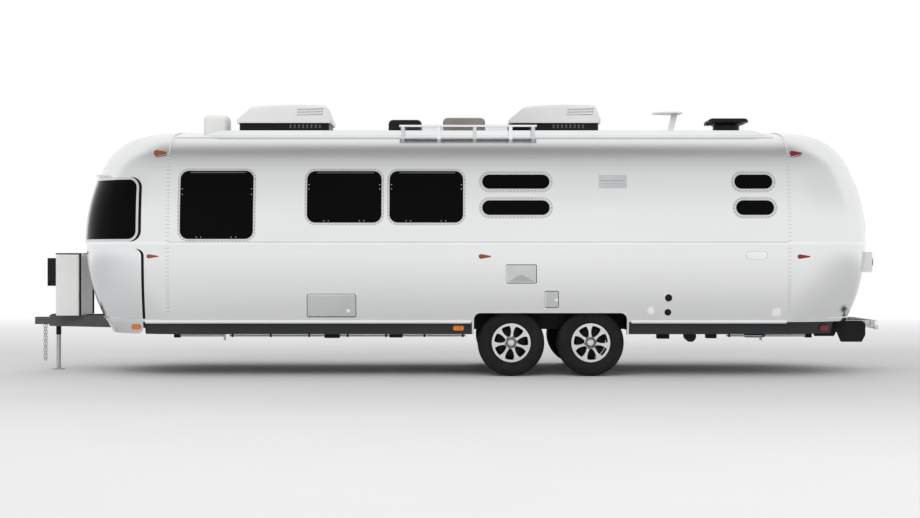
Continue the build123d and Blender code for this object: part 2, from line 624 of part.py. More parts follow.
with BuildPart() as door_window:
    pane = side_prism(window_outline(*DOOR_WINDOW, grow=-0.5), 1)
    add((barrel(0.5, -800, 200) & pane) - barrel(6, -800, 200))
door_window.part.label = "door_window"

with BuildPart() as storage_door_left:
    add(storage_leaf(-1))
storage_door_left.part.label = "storage_door_left"

with BuildPart() as storage_door_right:
    add(storage_leaf(1))
storage_door_right.part.label = "storage_door_right"

# The heater door bulges to a shallow pyramid, square to the skin behind it
HEATER_X = (HEATER_DOOR[0] + HEATER_DOOR[1]) / 2
HEATER_Z = (HEATER_DOOR[2] + HEATER_DOOR[3]) / 2
HEATER_LEAN = asin((BELT_Z - HEATER_Z) / FLANK_LOW_R)
HEATER_RISE = 16.0
with BuildPart() as heater_door:
    add(upright_leaf("heater"))
    face_y = -flank_y(HEATER_Z, -7)
    outward = (0, -cos(HEATER_LEAN), -sin(HEATER_LEAN))
    heater_face = Plane((HEATER_X, face_y, HEATER_Z), x_dir=(1, 0, 0), z_dir=outward)
    with BuildSketch(heater_face):
        Rectangle(286, 164)
    with BuildSketch(heater_face.offset(HEATER_RISE)):
        Rectangle(30, 18)
    loft()
    add(Solid.make_cylinder(12, 26, Plane((HEATER_X, face_y, HEATER_Z + 26), z_dir=outward)))
heater_door.part.label = "heater_door"

with BuildPart() as service_door:
    add(upright_leaf("service"))
service_door.part.label = "service_door"

# Chassis
CROSS_X = [-3225, -2300, -1400, -500, 120, 2080, 2900, 3700]
OUTRIGGER_X = [-2800, -1850, -850, 100, 2110, 2750, 3500]
REAR_CROSS_X = 4285.0
with BuildPart() as main_rails:
    for side in (-1, 1):
        low_y, high_y = sorted((side * (RAIL_Y - RAIL_WIDTH / 2), side * (RAIL_Y + RAIL_WIDTH / 2)))
        add(slab(RAIL_LOW_Z, RAIL_TOP_Z, -3200, REAR_CROSS_X - 25, low_y, high_y))
main_rails.part.label = "main_rails"

with BuildPart() as cross_members:
    for x in CROSS_X:
        half = RAIL_Y + RAIL_WIDTH / 2 if x == CROSS_X[0] else RAIL_Y - RAIL_WIDTH / 2
        add(slab(RAIL_LOW_Z, RAIL_TOP_Z, x - 25, x + 25, -half, half))
    add(slab(RAIL_LOW_Z, RAIL_TOP_Z, REAR_CROSS_X - 25, REAR_CROSS_X + 25, -665, 665))
    for x in OUTRIGGER_X:
        for side in (-1, 1):
            reach = flank_y(RAIL_LOW_Z + 40, SKIRT_INSET + SKIRT_THICK) - 3
            low_y, high_y = sorted((side * (RAIL_Y + RAIL_WIDTH / 2), side * reach))
            add(slab(RAIL_LOW_Z + 40, RAIL_TOP_Z, x - 20, x + 20, low_y, high_y))
cross_members.part.label = "cross_members"

with BuildPart() as tongue_rails:
    for side in (-1, 1):
        add(tongue_bar(side))
    add(slab(0, 3000, -3250, 0), mode=Mode.SUBTRACT)
    add(slab(0, 3000, -6000, TONGUE_TIP_X + 15), mode=Mode.SUBTRACT)
    add(slab(0, 3000, -6000, 0, -20, 20), mode=Mode.SUBTRACT)
tongue_rails.part.label = "tongue_rails"

BALL_R = 29.6
COUPLER_X = -4662.0
COUPLER_REAR_X = TONGUE_TIP_X + 15
with BuildPart() as coupler:
    with BuildSketch(Plane.XY.offset(RAIL_LOW_Z + 20)):
        with Locations((COUPLER_X, 0)):
            Circle(48)
        with BuildLine():
            Polyline((COUPLER_X, 48), (-4600, 70), (COUPLER_REAR_X, 84), (COUPLER_REAR_X, -84), (-4600, -70))
            Polyline((-4600, -70), (COUPLER_X, -48), (COUPLER_X, 48))
        make_face()
    extrude(amount=82)
    with Locations((COUPLER_X, 0, RAIL_LOW_Z + 20)):
        Cylinder(BALL_R + 0.2, 52, align=(Align.CENTER, Align.CENTER, Align.MIN), mode=Mode.SUBTRACT)
coupler.part.label = "coupler"

JACK_X = -4440.0
JACK_TUBE_R = 28.5
with BuildPart() as jack_housing:
    add(cylinder_z(JACK_X, 0, JACK_TUBE_R, 395, 950))
    add(slab(RAIL_TOP_Z, RAIL_TOP_Z + 10, JACK_X - 60, JACK_X + 30, -100, 100))
    with Locations(((JACK_X - 50), 0, 950)):
        Box(130, 108, 317, align=(Align.CENTER, Align.CENTER, Align.MIN))
    add(cylinder_z(JACK_X, 0, 25.1, 390, 940), mode=Mode.SUBTRACT)
jack_housing.part.label = "jack_housing"

with BuildPart() as jack_leg:
    add(cylinder_z(JACK_X, 0, 25, 10, 620))
    add(cylinder_z(JACK_X, 0, 70, 0, 14))
jack_leg.part.label = "jack_leg"

GAS_HINGE_X = -4106.0
GAS_HINGE_Z = 1314.0
with BuildPart() as gas_cover:
    add(slab(RAIL_TOP_Z, 1300, -4400, -4120, -330, 330))
    fillet(gas_cover.edges().filter_by(Axis.Z), 40)
    offset(amount=-3, openings=gas_cover.faces().sort_by(Axis.Z)[0])
    add(cylinder_y(GAS_HINGE_X, GAS_HINGE_Z, PIN_R, -272, 272))
    for start in (-276, 260):
        add(slab(GAS_HINGE_Z - 40, 1300, -4122, GAS_HINGE_X + 6, start, start + 16))
        add(slab(1299, GAS_HINGE_Z + 6, GAS_HINGE_X - 6, GAS_HINGE_X + 6, start, start + 16))
gas_cover.part.label = "gas_cover"

with BuildPart() as gas_lid:
    add(slab(1306, 1322, -4402, -4118, -332, 332))
    fillet(gas_lid.edges().filter_by(Axis.Z), 41)
    add(slab(GAS_HINGE_Z - 5, GAS_HINGE_Z + 5, -4120, GAS_HINGE_X, -252, 252))
    add(cylinder_y(GAS_HINGE_X, GAS_HINGE_Z, TUBE_R, -252, 252))
    add(cylinder_y(GAS_HINGE_X, GAS_HINGE_Z, PIN_R + RUN, -260, 260), mode=Mode.SUBTRACT)
gas_lid.part.label = "gas_lid"

# Running gear
with BuildPart() as axles:
    for x in AXLE_X.values():
        add(slab(AXLE_BEAM_Z - 38, AXLE_BEAM_Z + 38, x - TORSION_ARM - 38, x - TORSION_ARM + 38, -850, 850))
        for side in (-1, 1):
            low_y, high_y = sorted((side * 615, side * 665))
            add(slab(AXLE_BEAM_Z + 38, RAIL_LOW_Z, x - TORSION_ARM - 60, x - TORSION_ARM + 60, low_y, high_y))
            low_y, high_y = sorted((side * 850, side * 880))
            add(slab(AXLE_BEAM_Z - 30, AXLE_BEAM_Z + 30, x - TORSION_ARM - 38, x - TORSION_ARM + 30, low_y, high_y))
            arm_y = (low_y + high_y) / 2
            length = sqrt(TORSION_ARM**2 + (AXLE_BEAM_Z - TYRE_R) ** 2)
            droop = degrees(atan2(AXLE_BEAM_Z - TYRE_R, TORSION_ARM))
            middle_z = (AXLE_BEAM_Z + TYRE_R) / 2
            add(Pos(x - TORSION_ARM / 2, arm_y, middle_z) * Rot(0, droop, 0) * block(length, 30, 56))
            low_y, high_y = sorted((side * 850, side * 1030))
            add(cylinder_y(x, TYRE_R, SPINDLE_R, low_y, high_y))
axles.part.label = "axles"

# Half of the tyre's section, from bead to tread: radius, distance from the middle plane
TYRE_SECTION = [
    (RIM_R + 3, 96),
    (RIM_R + 22, 101),
    (RIM_R + 88, TYRE_WIDTH / 2),
    (TYRE_R - 24, TYRE_WIDTH / 2 - 10),
    (TYRE_R, TYRE_WIDTH / 2 - 30),
]
with BuildPart() as tyre_form:
    with BuildSketch(Plane.XY):
        far_half = [(radius, -reach) for radius, reach in reversed(TYRE_SECTION)]
        Polygon(*TYRE_SECTION, *far_half, align=None)
    revolve(axis=Axis.Y)

with BuildPart() as wheel_form:
    with BuildSketch(Plane.XY):
        with BuildLine():
            Polyline((RIM_R + 2.7, 97), (RIM_R + 17, 101), (RIM_R + 17, 108), (RIM_R - 8, 108))
            Polyline((RIM_R - 8, 108), (RIM_R - 12, 70), (RIM_R - 12, -104), (RIM_R + 17, -108))
            Polyline((RIM_R + 17, -108), (RIM_R + 17, -101), (RIM_R + 2.7, -97), (RIM_R + 2.7, 97))
        make_face()
    revolve(axis=Axis.Y)
    with BuildSketch(Plane.XY):
        Polygon(
            (SPINDLE_R + RUN, -60), (DRUM_R, -60), (DRUM_R, 10), (HUB_R, 14), (HUB_R, 76), (HUB_R - 8, 80),
            (CENTRE_CAP_R, 80), (CENTRE_CAP_R, 92), (CENTRE_CAP_R - 8, 98), (0, 98), (0, 74), (SPINDLE_R + RUN, 74),
            align=None,
        )
    revolve(axis=Axis.Y)
    with BuildSketch(Plane.XZ.offset(-SPOKE_FACE_Y)) as spoke:
        with BuildLine():
            Polyline((HUB_R - 6, -17), (110, -12), (150, -19), (RIM_R - 10, -37))
            Polyline((HUB_R - 6, -17), (HUB_R - 6, 17), (110, 12), (150, 19), (RIM_R - 10, 37))
            Line((RIM_R - 10, 37), (RIM_R - 10, -37))
        make_face()
    for number in range(SPOKES):
        spoke_solid = Solid.extrude(spoke.sketch.face(), Vector(0, -SPOKE_DEEP, 0))
        add(Rot(0, 360 / SPOKES * number, 0) * spoke_solid)

wheels = {}
for place, axle_x in AXLE_X.items():
    for side_name, side in (("left", -1), ("right", 1)):
        for kind, form in (("tyre", tyre_form), ("wheel", wheel_form)):
            with BuildPart() as corner:
                facing = Rot(0, 0, 0) if side > 0 else Rot(0, 0, 180)
                add(Pos(axle_x, side * WHEEL_Y, TYRE_R) * facing * Rot(0, SPOKE_PHASE[place] - 180, 0) * form.part)
            corner.part.label = f"{kind}_{place}_{side_name}"
            wheels[corner.part.label] = corner.part

# Stabiliser legs, folded up under the chassis: hinge station, direction towards the foot
STABILISERS = {"front": (-2960.0, 1), "rear": (3960.0, -1)}
LEG_LENGTH = 520.0
HINGE_Z = 425.0
# Skid brackets under the rear cross member, each with a roller
SKID_OUTLINE = [(4262, 578), (4262, 500), (4330, 345), (4560, 345), (4600, 420), (4600, 545), (4560, 578)]
SKID_ROLLER_X = 4420.0
SKID_ROLLER_Z = 400.0
legs = {}
STEP_FRONT_X = -628.0
STEP_REAR_X = 18.0
with BuildPart() as under_brackets:
    for hinge_x, way in STABILISERS.values():
        for side in (-1, 1):
            for cheek in (-24, 24):
                with Locations((hinge_x, side * 720 + cheek, (HINGE_Z - 30 + RAIL_LOW_Z - BELLY_THICK) / 2)):
                    Box(70, 6, RAIL_LOW_Z - BELLY_THICK - HINGE_Z + 30)
            add(cylinder_y(hinge_x, HINGE_Z, 8, side * 720 - 27, side * 720 + 27))
    for side in (-1, 1):
        low_y, high_y = sorted((side * (RAIL_Y + RAIL_WIDTH / 2), side * (RAIL_Y + RAIL_WIDTH / 2 + 10)))
        with BuildSketch(Plane.XZ.offset(-high_y)):
            Polygon(*SKID_OUTLINE, align=None)
        extrude(amount=high_y - low_y)
        add(cylinder_y(SKID_ROLLER_X, SKID_ROLLER_Z, 45, *sorted((side * 600, side * (RAIL_Y + RAIL_WIDTH / 2)))))
    for x in (STEP_FRONT_X - 3 - RUN, STEP_REAR_X + 3 + RUN):
        add(slab(400, RAIL_LOW_Z - BELLY_THICK, x - 3, x + 3, 800, 1075))
under_brackets.part.label = "under_brackets"

for place, (hinge_x, way) in STABILISERS.items():
    for side_name, side in (("left", -1), ("right", 1)):
        with BuildPart() as leg:
            low_x, high_x = sorted((hinge_x, hinge_x + way * LEG_LENGTH))
            add(slab(HINGE_Z - 20, HINGE_Z + 20, low_x, high_x, side * 720 - 18, side * 720 + 18))
            add(cylinder_y(hinge_x, HINGE_Z, 20, side * 720 - 18, side * 720 + 18))
            foot_x = hinge_x + way * LEG_LENGTH
            add(slab(HINGE_Z - 60, HINGE_Z + 40, foot_x - 4, foot_x + 4, side * 720 - 60, side * 720 + 60))
            add(cylinder_y(hinge_x, HINGE_Z, 8.1, side * 720 - 30, side * 720 + 30), mode=Mode.SUBTRACT)
        leg.part.label = f"leg_{place}_{side_name}"
        legs[leg.part.label] = leg.part

# Rear bumper on its brackets, with curved ends
BUMPER_X = 4710.0
BUMPER_LOW_Z = 490.0
BUMPER_HIGH_Z = 585.0
BUMPER_THICK = 8.0
with BuildPart() as rear_bumper:
    with BuildSketch(Plane.XY.offset(BUMPER_LOW_Z)):
        with BuildLine():
            Line((BUMPER_X, -790), (BUMPER_X, 790))
            ThreePointArc((BUMPER_X, 790), (BUMPER_X - 18, 850), (BUMPER_X - 66, 900))
            Line((BUMPER_X - 66, 900), (BUMPER_X - 71, 894))
            ThreePointArc((BUMPER_X - 71, 894), (BUMPER_X - 25, 846), (BUMPER_X - BUMPER_THICK, 790))
            Line((BUMPER_X - BUMPER_THICK, 790), (BUMPER_X - BUMPER_THICK, -790))
            ThreePointArc((BUMPER_X - BUMPER_THICK, -790), (BUMPER_X - 25, -846), (BUMPER_X - 71, -894))
            Line((BUMPER_X - 71, -894), (BUMPER_X - 66, -900))
            ThreePointArc((BUMPER_X - 66, -900), (BUMPER_X - 18, -850), (BUMPER_X, -790))
        make_face()
    extrude(amount=BUMPER_HIGH_Z - BUMPER_LOW_Z)
    for y in (-560, 560):
        add(slab(500, 575, REAR_CROSS_X + 25, BUMPER_X - 6, y - 30, y + 30))
rear_bumper.part.label = "rear_bumper"

# Entry step: two treads on a drawer under the doorway
with BuildPart() as entry_step:
    add(slab(420, 445, STEP_FRONT_X, STEP_REAR_X, 860, 1170))
    add(slab(380, 445, STEP_FRONT_X, STEP_FRONT_X + 10, 860, 1170))
    add(slab(380, 445, STEP_REAR_X - 10, STEP_REAR_X, 860, 1170))
entry_step.part.label = "entry_step"

# Roof furniture
roof_seat = barrel(-FIT)
AIR_CONDITIONERS = [(-2359, -1309), (688, 1715)]
COOLER_BASE_TOP = 2780.0
COOLER_TOP = 2985.0
COOLER_HALF = 365.0
with BuildPart() as cooler_bases:
    for start, end in AIR_CONDITIONERS:
        pan = slab(2600, COOLER_BASE_TOP, start + 20, end - 20, -330, 330)
        add(pan.fillet(60, pan.edges().filter_by(Axis.Z)))
    add(roof_seat, mode=Mode.SUBTRACT)
cooler_bases.part.label = "cooler_bases"

# Shrouds: sloping nose, flat back and rows of air holes towards the rear
HOLE_ROWS = 3
HOLES_IN_ROW = 11
HOLE = 13.0
HOLE_PITCH = 27.0
HOLE_ROW_PITCH = 30.0
with BuildPart() as cooler_shrouds:
    for start, end in AIR_CONDITIONERS:
        with BuildSketch(Plane.XZ, mode=Mode.PRIVATE) as profile:
            with BuildLine():
                Polyline((start, COOLER_BASE_TOP + 34), (start, COOLER_BASE_TOP), (end, COOLER_BASE_TOP))
                Polyline((end, COOLER_BASE_TOP), (end, COOLER_BASE_TOP + 40), (end - 62, COOLER_TOP - 8))
                Spline((end - 62, COOLER_TOP - 8), ((start + end) / 2, COOLER_TOP), (start + 175, COOLER_TOP - 22))
                Line((start + 175, COOLER_TOP - 22), (start, COOLER_BASE_TOP + 34))
            make_face()
        hood = Pos(0, COOLER_HALF, 0) * Solid.extrude(profile.sketch.face(), Vector(0, -2 * COOLER_HALF, 0))
        upright = [e for e in hood.edges().filter_by(Axis.Z) if abs(e.center().Y) > COOLER_HALF - 1]
        hood = hood.fillet(30, upright)
        top_edges = [
            e for e in hood.edges()
            if abs(e.center().Y) > COOLER_HALF - 1 and e.center().Z > COOLER_BASE_TOP + 60 and e.length > 300
        ]
        add(hood.fillet(26, top_edges))
        holes = []
        for side in (-1, 1):
            for row in range(HOLE_ROWS):
                for number in range(HOLES_IN_ROW):
                    x = end - 88 - HOLE_PITCH * number - 6 * row
                    z = COOLER_TOP - 50 - HOLE_ROW_PITCH * row - 0.6 * number
                    holes.append(Pos(x, side * COOLER_HALF, z) * block(HOLE, 24, HOLE))
        add(holes, mode=Mode.SUBTRACT)
cooler_shrouds.part.label = "cooler_shrouds"

ROOF_VENTS = [(-670, -294, 2832, 200), (-54, 425, 2854, 220), (-2770, -2485, 2888, 140)]
FAN_X = 3175.0
FAN_HINGE_X = 2940.0
FAN_HINGE_Z = 2807.0
ANTENNA_X = 2520.0
ANTENNA_TOP = 2925.0
with BuildPart() as roof_vents:
    for start, end, top, half in ROOF_VENTS:
        dome = slab(2600, top, start, end, -half, half)
        dome = dome.fillet(60, dome.edges().filter_by(Axis.Z))
        dome = dome.fillet(50, dome.faces().sort_by(Axis.Z)[-1].edges())
        add(dome)
    add(roof_seat, mode=Mode.SUBTRACT)
    add(cylinder_z(FAN_X, 0, 150, 2600, 2770))
    add(Solid.make_cone(150, 205, 22, Plane((FAN_X, 0, 2770))))
    add(cylinder_z(ANTENNA_X, 0, 66, 2600, 2722))
    mast = block(64, 34, 200)
    add(Pos(ANTENNA_X + 44, 0, 2815) * Rot(0, 14, 0) * mast)
    with BuildSketch(Plane.XY.offset(ANTENNA_TOP - 16)):
        Polygon((2340, -70), (2340, 70), (2560, 150), (2660, 110), (2660, -110), (2560, -150), align=None)
    extrude(amount=16)
    add(roof_seat, mode=Mode.SUBTRACT)
    add(slab(2780, 2792, FAN_HINGE_X - 5, 3000, -76, 76))
    for start in (-76, 62):
        add(slab(2780, FAN_HINGE_Z + 5, FAN_HINGE_X - 5, FAN_HINGE_X + 5, start, start + 14))
    add(cylinder_y(FAN_HINGE_X, FAN_HINGE_Z, PIN_R, -70, 70))
roof_vents.part.label = "roof_vents"

with BuildPart() as fan_lid:
    lid = slab(2801, 2846, 2950, 3400, -225, 225)
    lid = lid.fillet(60, lid.edges().filter_by(Axis.Z))
    add(lid.fillet(38, lid.faces().sort_by(Axis.Z)[-1].edges()))
    add(slab(FAN_HINGE_Z - 5, FAN_HINGE_Z + 5, FAN_HINGE_X, 2955, -58, 58))
    add(cylinder_y(FAN_HINGE_X, FAN_HINGE_Z, TUBE_R, -58, 58))
    add(cylinder_y(FAN_HINGE_X, FAN_HINGE_Z, PIN_R + RUN, -60, 60), mode=Mode.SUBTRACT)
fan_lid.part.label = "fan_lid"

with BuildPart() as solar_panel:
    add(slab(2692, 2714, -520, 975, -900, -390))
    for x in (-480, -90, 300, 690, 935):
        for y in (-880, -410):
            add(slab(2550, 2692, x - 20, x + 20, y - 15, y + 15))
    add(roof_seat, mode=Mode.SUBTRACT)
solar_panel.part.label = "solar_panel"

RAIL_FIT = 2 * FIT
with BuildPart() as roof_rails:
    for side in (-1, 1):
        low_y, high_y = sorted((side * 832, side * 852))
        add(slab(2400, 2700, FRONT_SEAM_X + 20, 3550, low_y, high_y) & barrel(-14))
    add(barrel(-RAIL_FIT), mode=Mode.SUBTRACT)
roof_rails.part.label = "roof_rails"

# Awning roll over the doorway, clear of the door's swing
AWNING_Y = 1155.0
AWNING_Z = 2412.0
AWNING_R = 38.0
AWNING_END_X = 2120.0
with BuildPart() as awning:
    add(cylinder_x(AWNING_Y, AWNING_Z, AWNING_R, -AWNING_END_X, AWNING_END_X))
    for x in (-AWNING_END_X - 20, AWNING_END_X + 20):
        add(slab(AWNING_Z - 40, AWNING_Z + 42, x - 20, x + 20, 960, AWNING_Y + 40))
    add(barrel(-RAIL_FIT), mode=Mode.SUBTRACT)
awning.part.label = "awning"

# Range vent in the street side: flanged plate with a hood over its flap
RANGE_VENT = (1618, 1920, 2012, 2153, 12)
with BuildPart() as range_vent:
    plate = side_prism(window_outline(*RANGE_VENT), -1)
    add(side_skin(-5, -FIT, 1950, 2200, -1, 1500, 2000) & plate)
    for low, high, deep in ((2092, 2140, 26), (2058, 2088, 16), (2026, 2054, 11)):
        louvre = side_prism(window_outline(RANGE_VENT[0] + 24, RANGE_VENT[1] - 24, low, high, 8), -1)
        add(side_skin(-deep, -4, 1950, 2200, -1, 1500, 2000) & louvre)
range_vent.part.label = "range_vent"

# Marker lamps: front edge, rear edge, lower edge, upper edge
AMBER = [(-3153, -3004, 2361, 2435), (-3196, -3058, 1254, 1314)]
RED = [(3672, 3815, 2361, 2424), (3720, 3865, 1250, 1313)]
SIDE_AMBER = (331, 476, 1250, 1316)
# Oblong lamps low on the guards and skirts: front edge, rear edge, lower edge, upper edge, corner radius
GUARD_LAMP = (-3392, -3287, 498, 551, 20)
SKIRT_LAMP = (66, 182, 491, 544, 20)
REAR_SKIRT_LAMP = (4017, 4123, 484, 540, 20)
LAMP_PROUD = 20.0
LAMP_BASE = 7.0
SKIRT_LAMP_PROUD = 14.0
# Tail lamps: white housings with round lenses on the rear cap
TAIL_INNER_Y = 560.0
TAIL_OUTER_Y = 790.0
TAIL_LOW_Z = 1112.0
TAIL_HIGH_Z = 1333.0
TAIL_FACE_X = 4652.0
TAIL_LENS_R = 46.0


def marker(skin, base, outline, side):
    """Marker lamp on a curved skin: chromed base and lens, skin and base being slices at their depths."""
    lens = skin & side_prism(teardrop(*outline, grow=-7), side)
    return lens + (base & side_prism(teardrop(*outline), side))


with BuildPart() as lamps:
    front_lens, front_base = front_skin(-LAMP_PROUD, -LAMP_BASE, 1200, 2500), front_skin(-LAMP_BASE, -FIT, 1200, 2500)
    rear_lens, rear_base = rear_skin(-LAMP_PROUD, -LAMP_BASE, 1200, 2500), rear_skin(-LAMP_BASE, -FIT, 1200, 2500)
    for side in (-1, 1):
        for outline in AMBER:
            add(marker(front_lens, front_base, outline, side))
        for outline in RED:
            add(marker(rear_lens, rear_base, outline, side))
        side_lens = side_skin(-LAMP_PROUD, -LAMP_BASE, 1200, 1400, side, 0, 1000)
        side_base = side_skin(-LAMP_BASE, -FIT, 1200, 1400, side, 0, 1000)
        add(marker(side_lens, side_base, SIDE_AMBER, side))
        outline = side_prism(window_outline(*GUARD_LAMP), side)
        add(front_skin(-TRIM_PROUD, -GUARD_THICK - FIT, 440, 580) & outline)
        inner, outer = SKIRT_INSET - FIT, SKIRT_INSET - SKIRT_LAMP_PROUD
        add(side_skin(outer, inner, 440, 580, side, 0, 250) & side_prism(window_outline(*SKIRT_LAMP), side))
        add(rear_skin(outer, inner, 440, 580) & side_prism(window_outline(*REAR_SKIRT_LAMP), side))
        low_y, high_y = sorted((side * TAIL_INNER_Y, side * TAIL_OUTER_Y))
        housing = slab(TAIL_LOW_Z, TAIL_HIGH_Z, 4300, TAIL_FACE_X, low_y, high_y)
        housing = housing.fillet(22, housing.faces().sort_by(Axis.X)[-1].edges())
        add(housing - rear_cap(-FIT))
        for reach in (TAIL_INNER_Y + 60, TAIL_OUTER_Y - 60):
            middle_z = (TAIL_LOW_Z + TAIL_HIGH_Z) / 2
            add(cylinder_x(side * reach, middle_z, TAIL_LENS_R, TAIL_FACE_X - 2, TAIL_FACE_X + 8))
lamps.part.label = "lamps"

# Round covers in the street side: station, height, radius
INLETS = [(2360, 842, 53), (2355, 688, 38), (3513, 688, 45)]
SQUARE_CAP = (2132, 2217, 650, 746, 10)
with BuildPart() as inlets:
    for x, z, radius in INLETS:
        add(cylinder_y(x, z, radius, -1284, -1100) - barrel(-FIT))
        add(cylinder_y(x, z, 0.72 * radius, -1296, -1100) - barrel(-FIT))
    add(side_skin(-10, -FIT, 600, 800, -1, 2000, 2400) & side_prism(window_outline(*SQUARE_CAP), -1))
    add(side_skin(-16, -9, 600, 800, -1, 2000, 2400) & side_prism(window_outline(*SQUARE_CAP, grow=-14), -1))
inlets.part.label = "inlets"

# Safety chains: flat links hanging from the tongue tip
LINK_LONG = 46.0
LINK_WIDE = 30.0
LINK_WIRE = 7.0
with BuildPart() as link_form:
    with BuildSketch(Plane.XZ):
        for shrink, mode in ((0, Mode.ADD), (LINK_WIRE, Mode.SUBTRACT)):
            long, wide = LINK_LONG / 2 - shrink, LINK_WIDE / 2 - shrink
            side = long - 0.7 * wide
            corners = [(0, long), (wide, side), (wide, -side), (0, -long), (-wide, -side), (-wide, side)]
            Polygon(*corners, align=None, mode=mode)
    extrude(amount=LINK_WIRE / 2, both=True)
chain_link = link_form.part

with BuildPart() as safety_chains:
    for side in (-1, 1):
        for number in range(12):
            turn = Rot(0, 0, 90 * (number % 2))
            add(Pos(-4590, side * 40, 492 - 34 * number) * turn * chain_link)
safety_chains.part.label = "safety_chains"

for name, piece in (
    ("shell_front", shell_front), ("shell_rear", shell_rear), ("wall_left", wall_left), ("wall_right", wall_right),
    ("roof", roof), ("floor", floor), ("mouldings", mouldings), ("front_guards", front_guards),
    ("edge_seals", edge_seals), ("range_vent", range_vent),
    ("skirts", skirts), ("wheel_wells", wheel_wells), ("window_glass", window_glass),
    ("window_frames", window_frames), ("entry_door", entry_door), ("door_window", door_window),
    ("storage_door_left", storage_door_left), ("storage_door_right", storage_door_right),
    ("heater_door", heater_door), ("service_door", service_door), ("main_rails", main_rails),
    ("cross_members", cross_members),
    ("tongue_rails", tongue_rails), ("coupler", coupler), ("jack_housing", jack_housing), ("jack_leg", jack_leg),
    ("gas_cover", gas_cover), ("gas_lid", gas_lid), ("axles", axles), ("under_brackets", under_brackets),
    ("rear_bumper", rear_bumper), ("entry_step", entry_step), ("cooler_bases", cooler_bases),
    ("cooler_shrouds", cooler_shrouds), ("roof_vents", roof_vents), ("fan_lid", fan_lid),
    ("solar_panel", solar_panel), ("roof_rails", roof_rails), ("awning", awning), ("lamps", lamps),
    ("inlets", inlets), ("safety_chains", safety_chains),
):
    export_step(piece.part, f"parts/{name}.step")
for name, form in {**wheels, **legs}.items():
    export_step(form, f"parts/{name}.step")
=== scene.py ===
"""Looks of the travel caravan: finishes, rivets, seams, tyres and small fittings, in metres.

+X runs rearwards, +Y to the kerb side with the entry door, and +Z up. The camera looks at the street side.
"""

import json
from functools import partial
from math import cos, pi, radians, sin

import bpy
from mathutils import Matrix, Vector
from mathutils.bvhtree import BVHTree

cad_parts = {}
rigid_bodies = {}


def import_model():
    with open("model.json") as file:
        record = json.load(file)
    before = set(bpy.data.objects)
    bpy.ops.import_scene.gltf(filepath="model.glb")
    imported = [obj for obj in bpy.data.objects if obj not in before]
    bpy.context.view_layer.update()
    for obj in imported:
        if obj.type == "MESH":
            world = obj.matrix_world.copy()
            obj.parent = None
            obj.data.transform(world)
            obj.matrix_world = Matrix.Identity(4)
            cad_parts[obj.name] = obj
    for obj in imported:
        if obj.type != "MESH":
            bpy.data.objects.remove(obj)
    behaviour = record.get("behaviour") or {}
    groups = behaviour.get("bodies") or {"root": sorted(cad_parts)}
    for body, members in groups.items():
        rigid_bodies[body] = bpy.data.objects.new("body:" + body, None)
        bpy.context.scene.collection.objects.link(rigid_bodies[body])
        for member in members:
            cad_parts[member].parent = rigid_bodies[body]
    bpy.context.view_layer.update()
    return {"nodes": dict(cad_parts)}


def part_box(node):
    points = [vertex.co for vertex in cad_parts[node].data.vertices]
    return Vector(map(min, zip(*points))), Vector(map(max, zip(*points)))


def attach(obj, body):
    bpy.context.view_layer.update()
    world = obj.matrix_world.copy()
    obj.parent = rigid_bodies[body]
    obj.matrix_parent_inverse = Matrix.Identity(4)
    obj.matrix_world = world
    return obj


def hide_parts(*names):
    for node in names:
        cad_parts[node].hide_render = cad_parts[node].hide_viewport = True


for leftover in list(bpy.data.objects):
    bpy.data.objects.remove(leftover)
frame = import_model()
nodes = frame["nodes"]

# Stations and heights of the hull
FRONT_SEAM_X = -2.972
REAR_SEAM_X = 3.646
ROOF_SEAM_Z = 2.246
HULL_AXIS_Z = 1.5
SILL_Z = 0.63
HULL_NODES = (
    "shell_front", "shell_rear", "wall_left", "wall_right", "roof", "mouldings", "window_frames",
    "front_guards", "entry_door", "storage_door_left", "storage_door_right", "range_vent", "heater_door",
    "service_door",
)
# Side windows: side, front edge, rear edge, lower edge, upper edge, corner radius
WINDOWS = [
    (-1, -2.845, -2.054, 1.462, 2.204, 0.095),
    (-1, -1.495, -0.689, 1.636, 2.201, 0.095),
    (-1, -0.617, 0.180, 1.636, 2.201, 0.095),
    (-1, 0.370, 1.100, 1.998, 2.163, 0.082),
    (-1, 0.370, 1.100, 1.718, 1.887, 0.084),
    (-1, 3.058, 3.475, 1.998, 2.163, 0.082),
    (-1, 3.071, 3.487, 1.718, 1.887, 0.084),
    (1, -2.845, -2.054, 1.462, 2.204, 0.095),
    (1, -1.495, -0.800, 1.636, 2.201, 0.095),
    (1, 0.369, 1.175, 1.636, 2.201, 0.095),
    (1, 1.480, 2.210, 1.718, 1.887, 0.084),
    (1, 3.071, 3.487, 1.718, 1.887, 0.084),
]
OVAL_HEIGHT = 0.2  # windows lower than this are the oval ones
DOOR_OUTLINE = (-0.648, 0.038, 0.641, 2.353, 0.083)
DOOR_WINDOW = (-0.500, -0.130, 1.560, 2.120, 0.090)
RANGE_VENT = (1.618, 1.920, 2.012, 2.153, 0.012)
OVAL_PLATE = (3.178, 3.412, 1.251, 1.341, 0.045)
LAMP_LENS_DEPTH = 0.0078  # a lamp's faces further than this from the skin are its lens


# Materials

EVEN = (1, 1, 1)
NOISE_LOW, NOISE_HIGH = 0.3, 0.7  # nearly all of a noise lies between these
GRAIN_STRENGTH, WAVE_STRENGTH = 0.35, 0.5
SOLAR_CELL = 0.156


def shader_of(name):
    """A new material with its Principled shader."""
    made = bpy.data.materials.new(name)
    made.use_nodes = True
    tree = made.node_tree
    tree.nodes.clear()
    output = tree.nodes.new("ShaderNodeOutputMaterial")
    shader = tree.nodes.new("ShaderNodeBsdfPrincipled")
    tree.links.new(shader.outputs["BSDF"], output.inputs["Surface"])
    return made, tree, shader


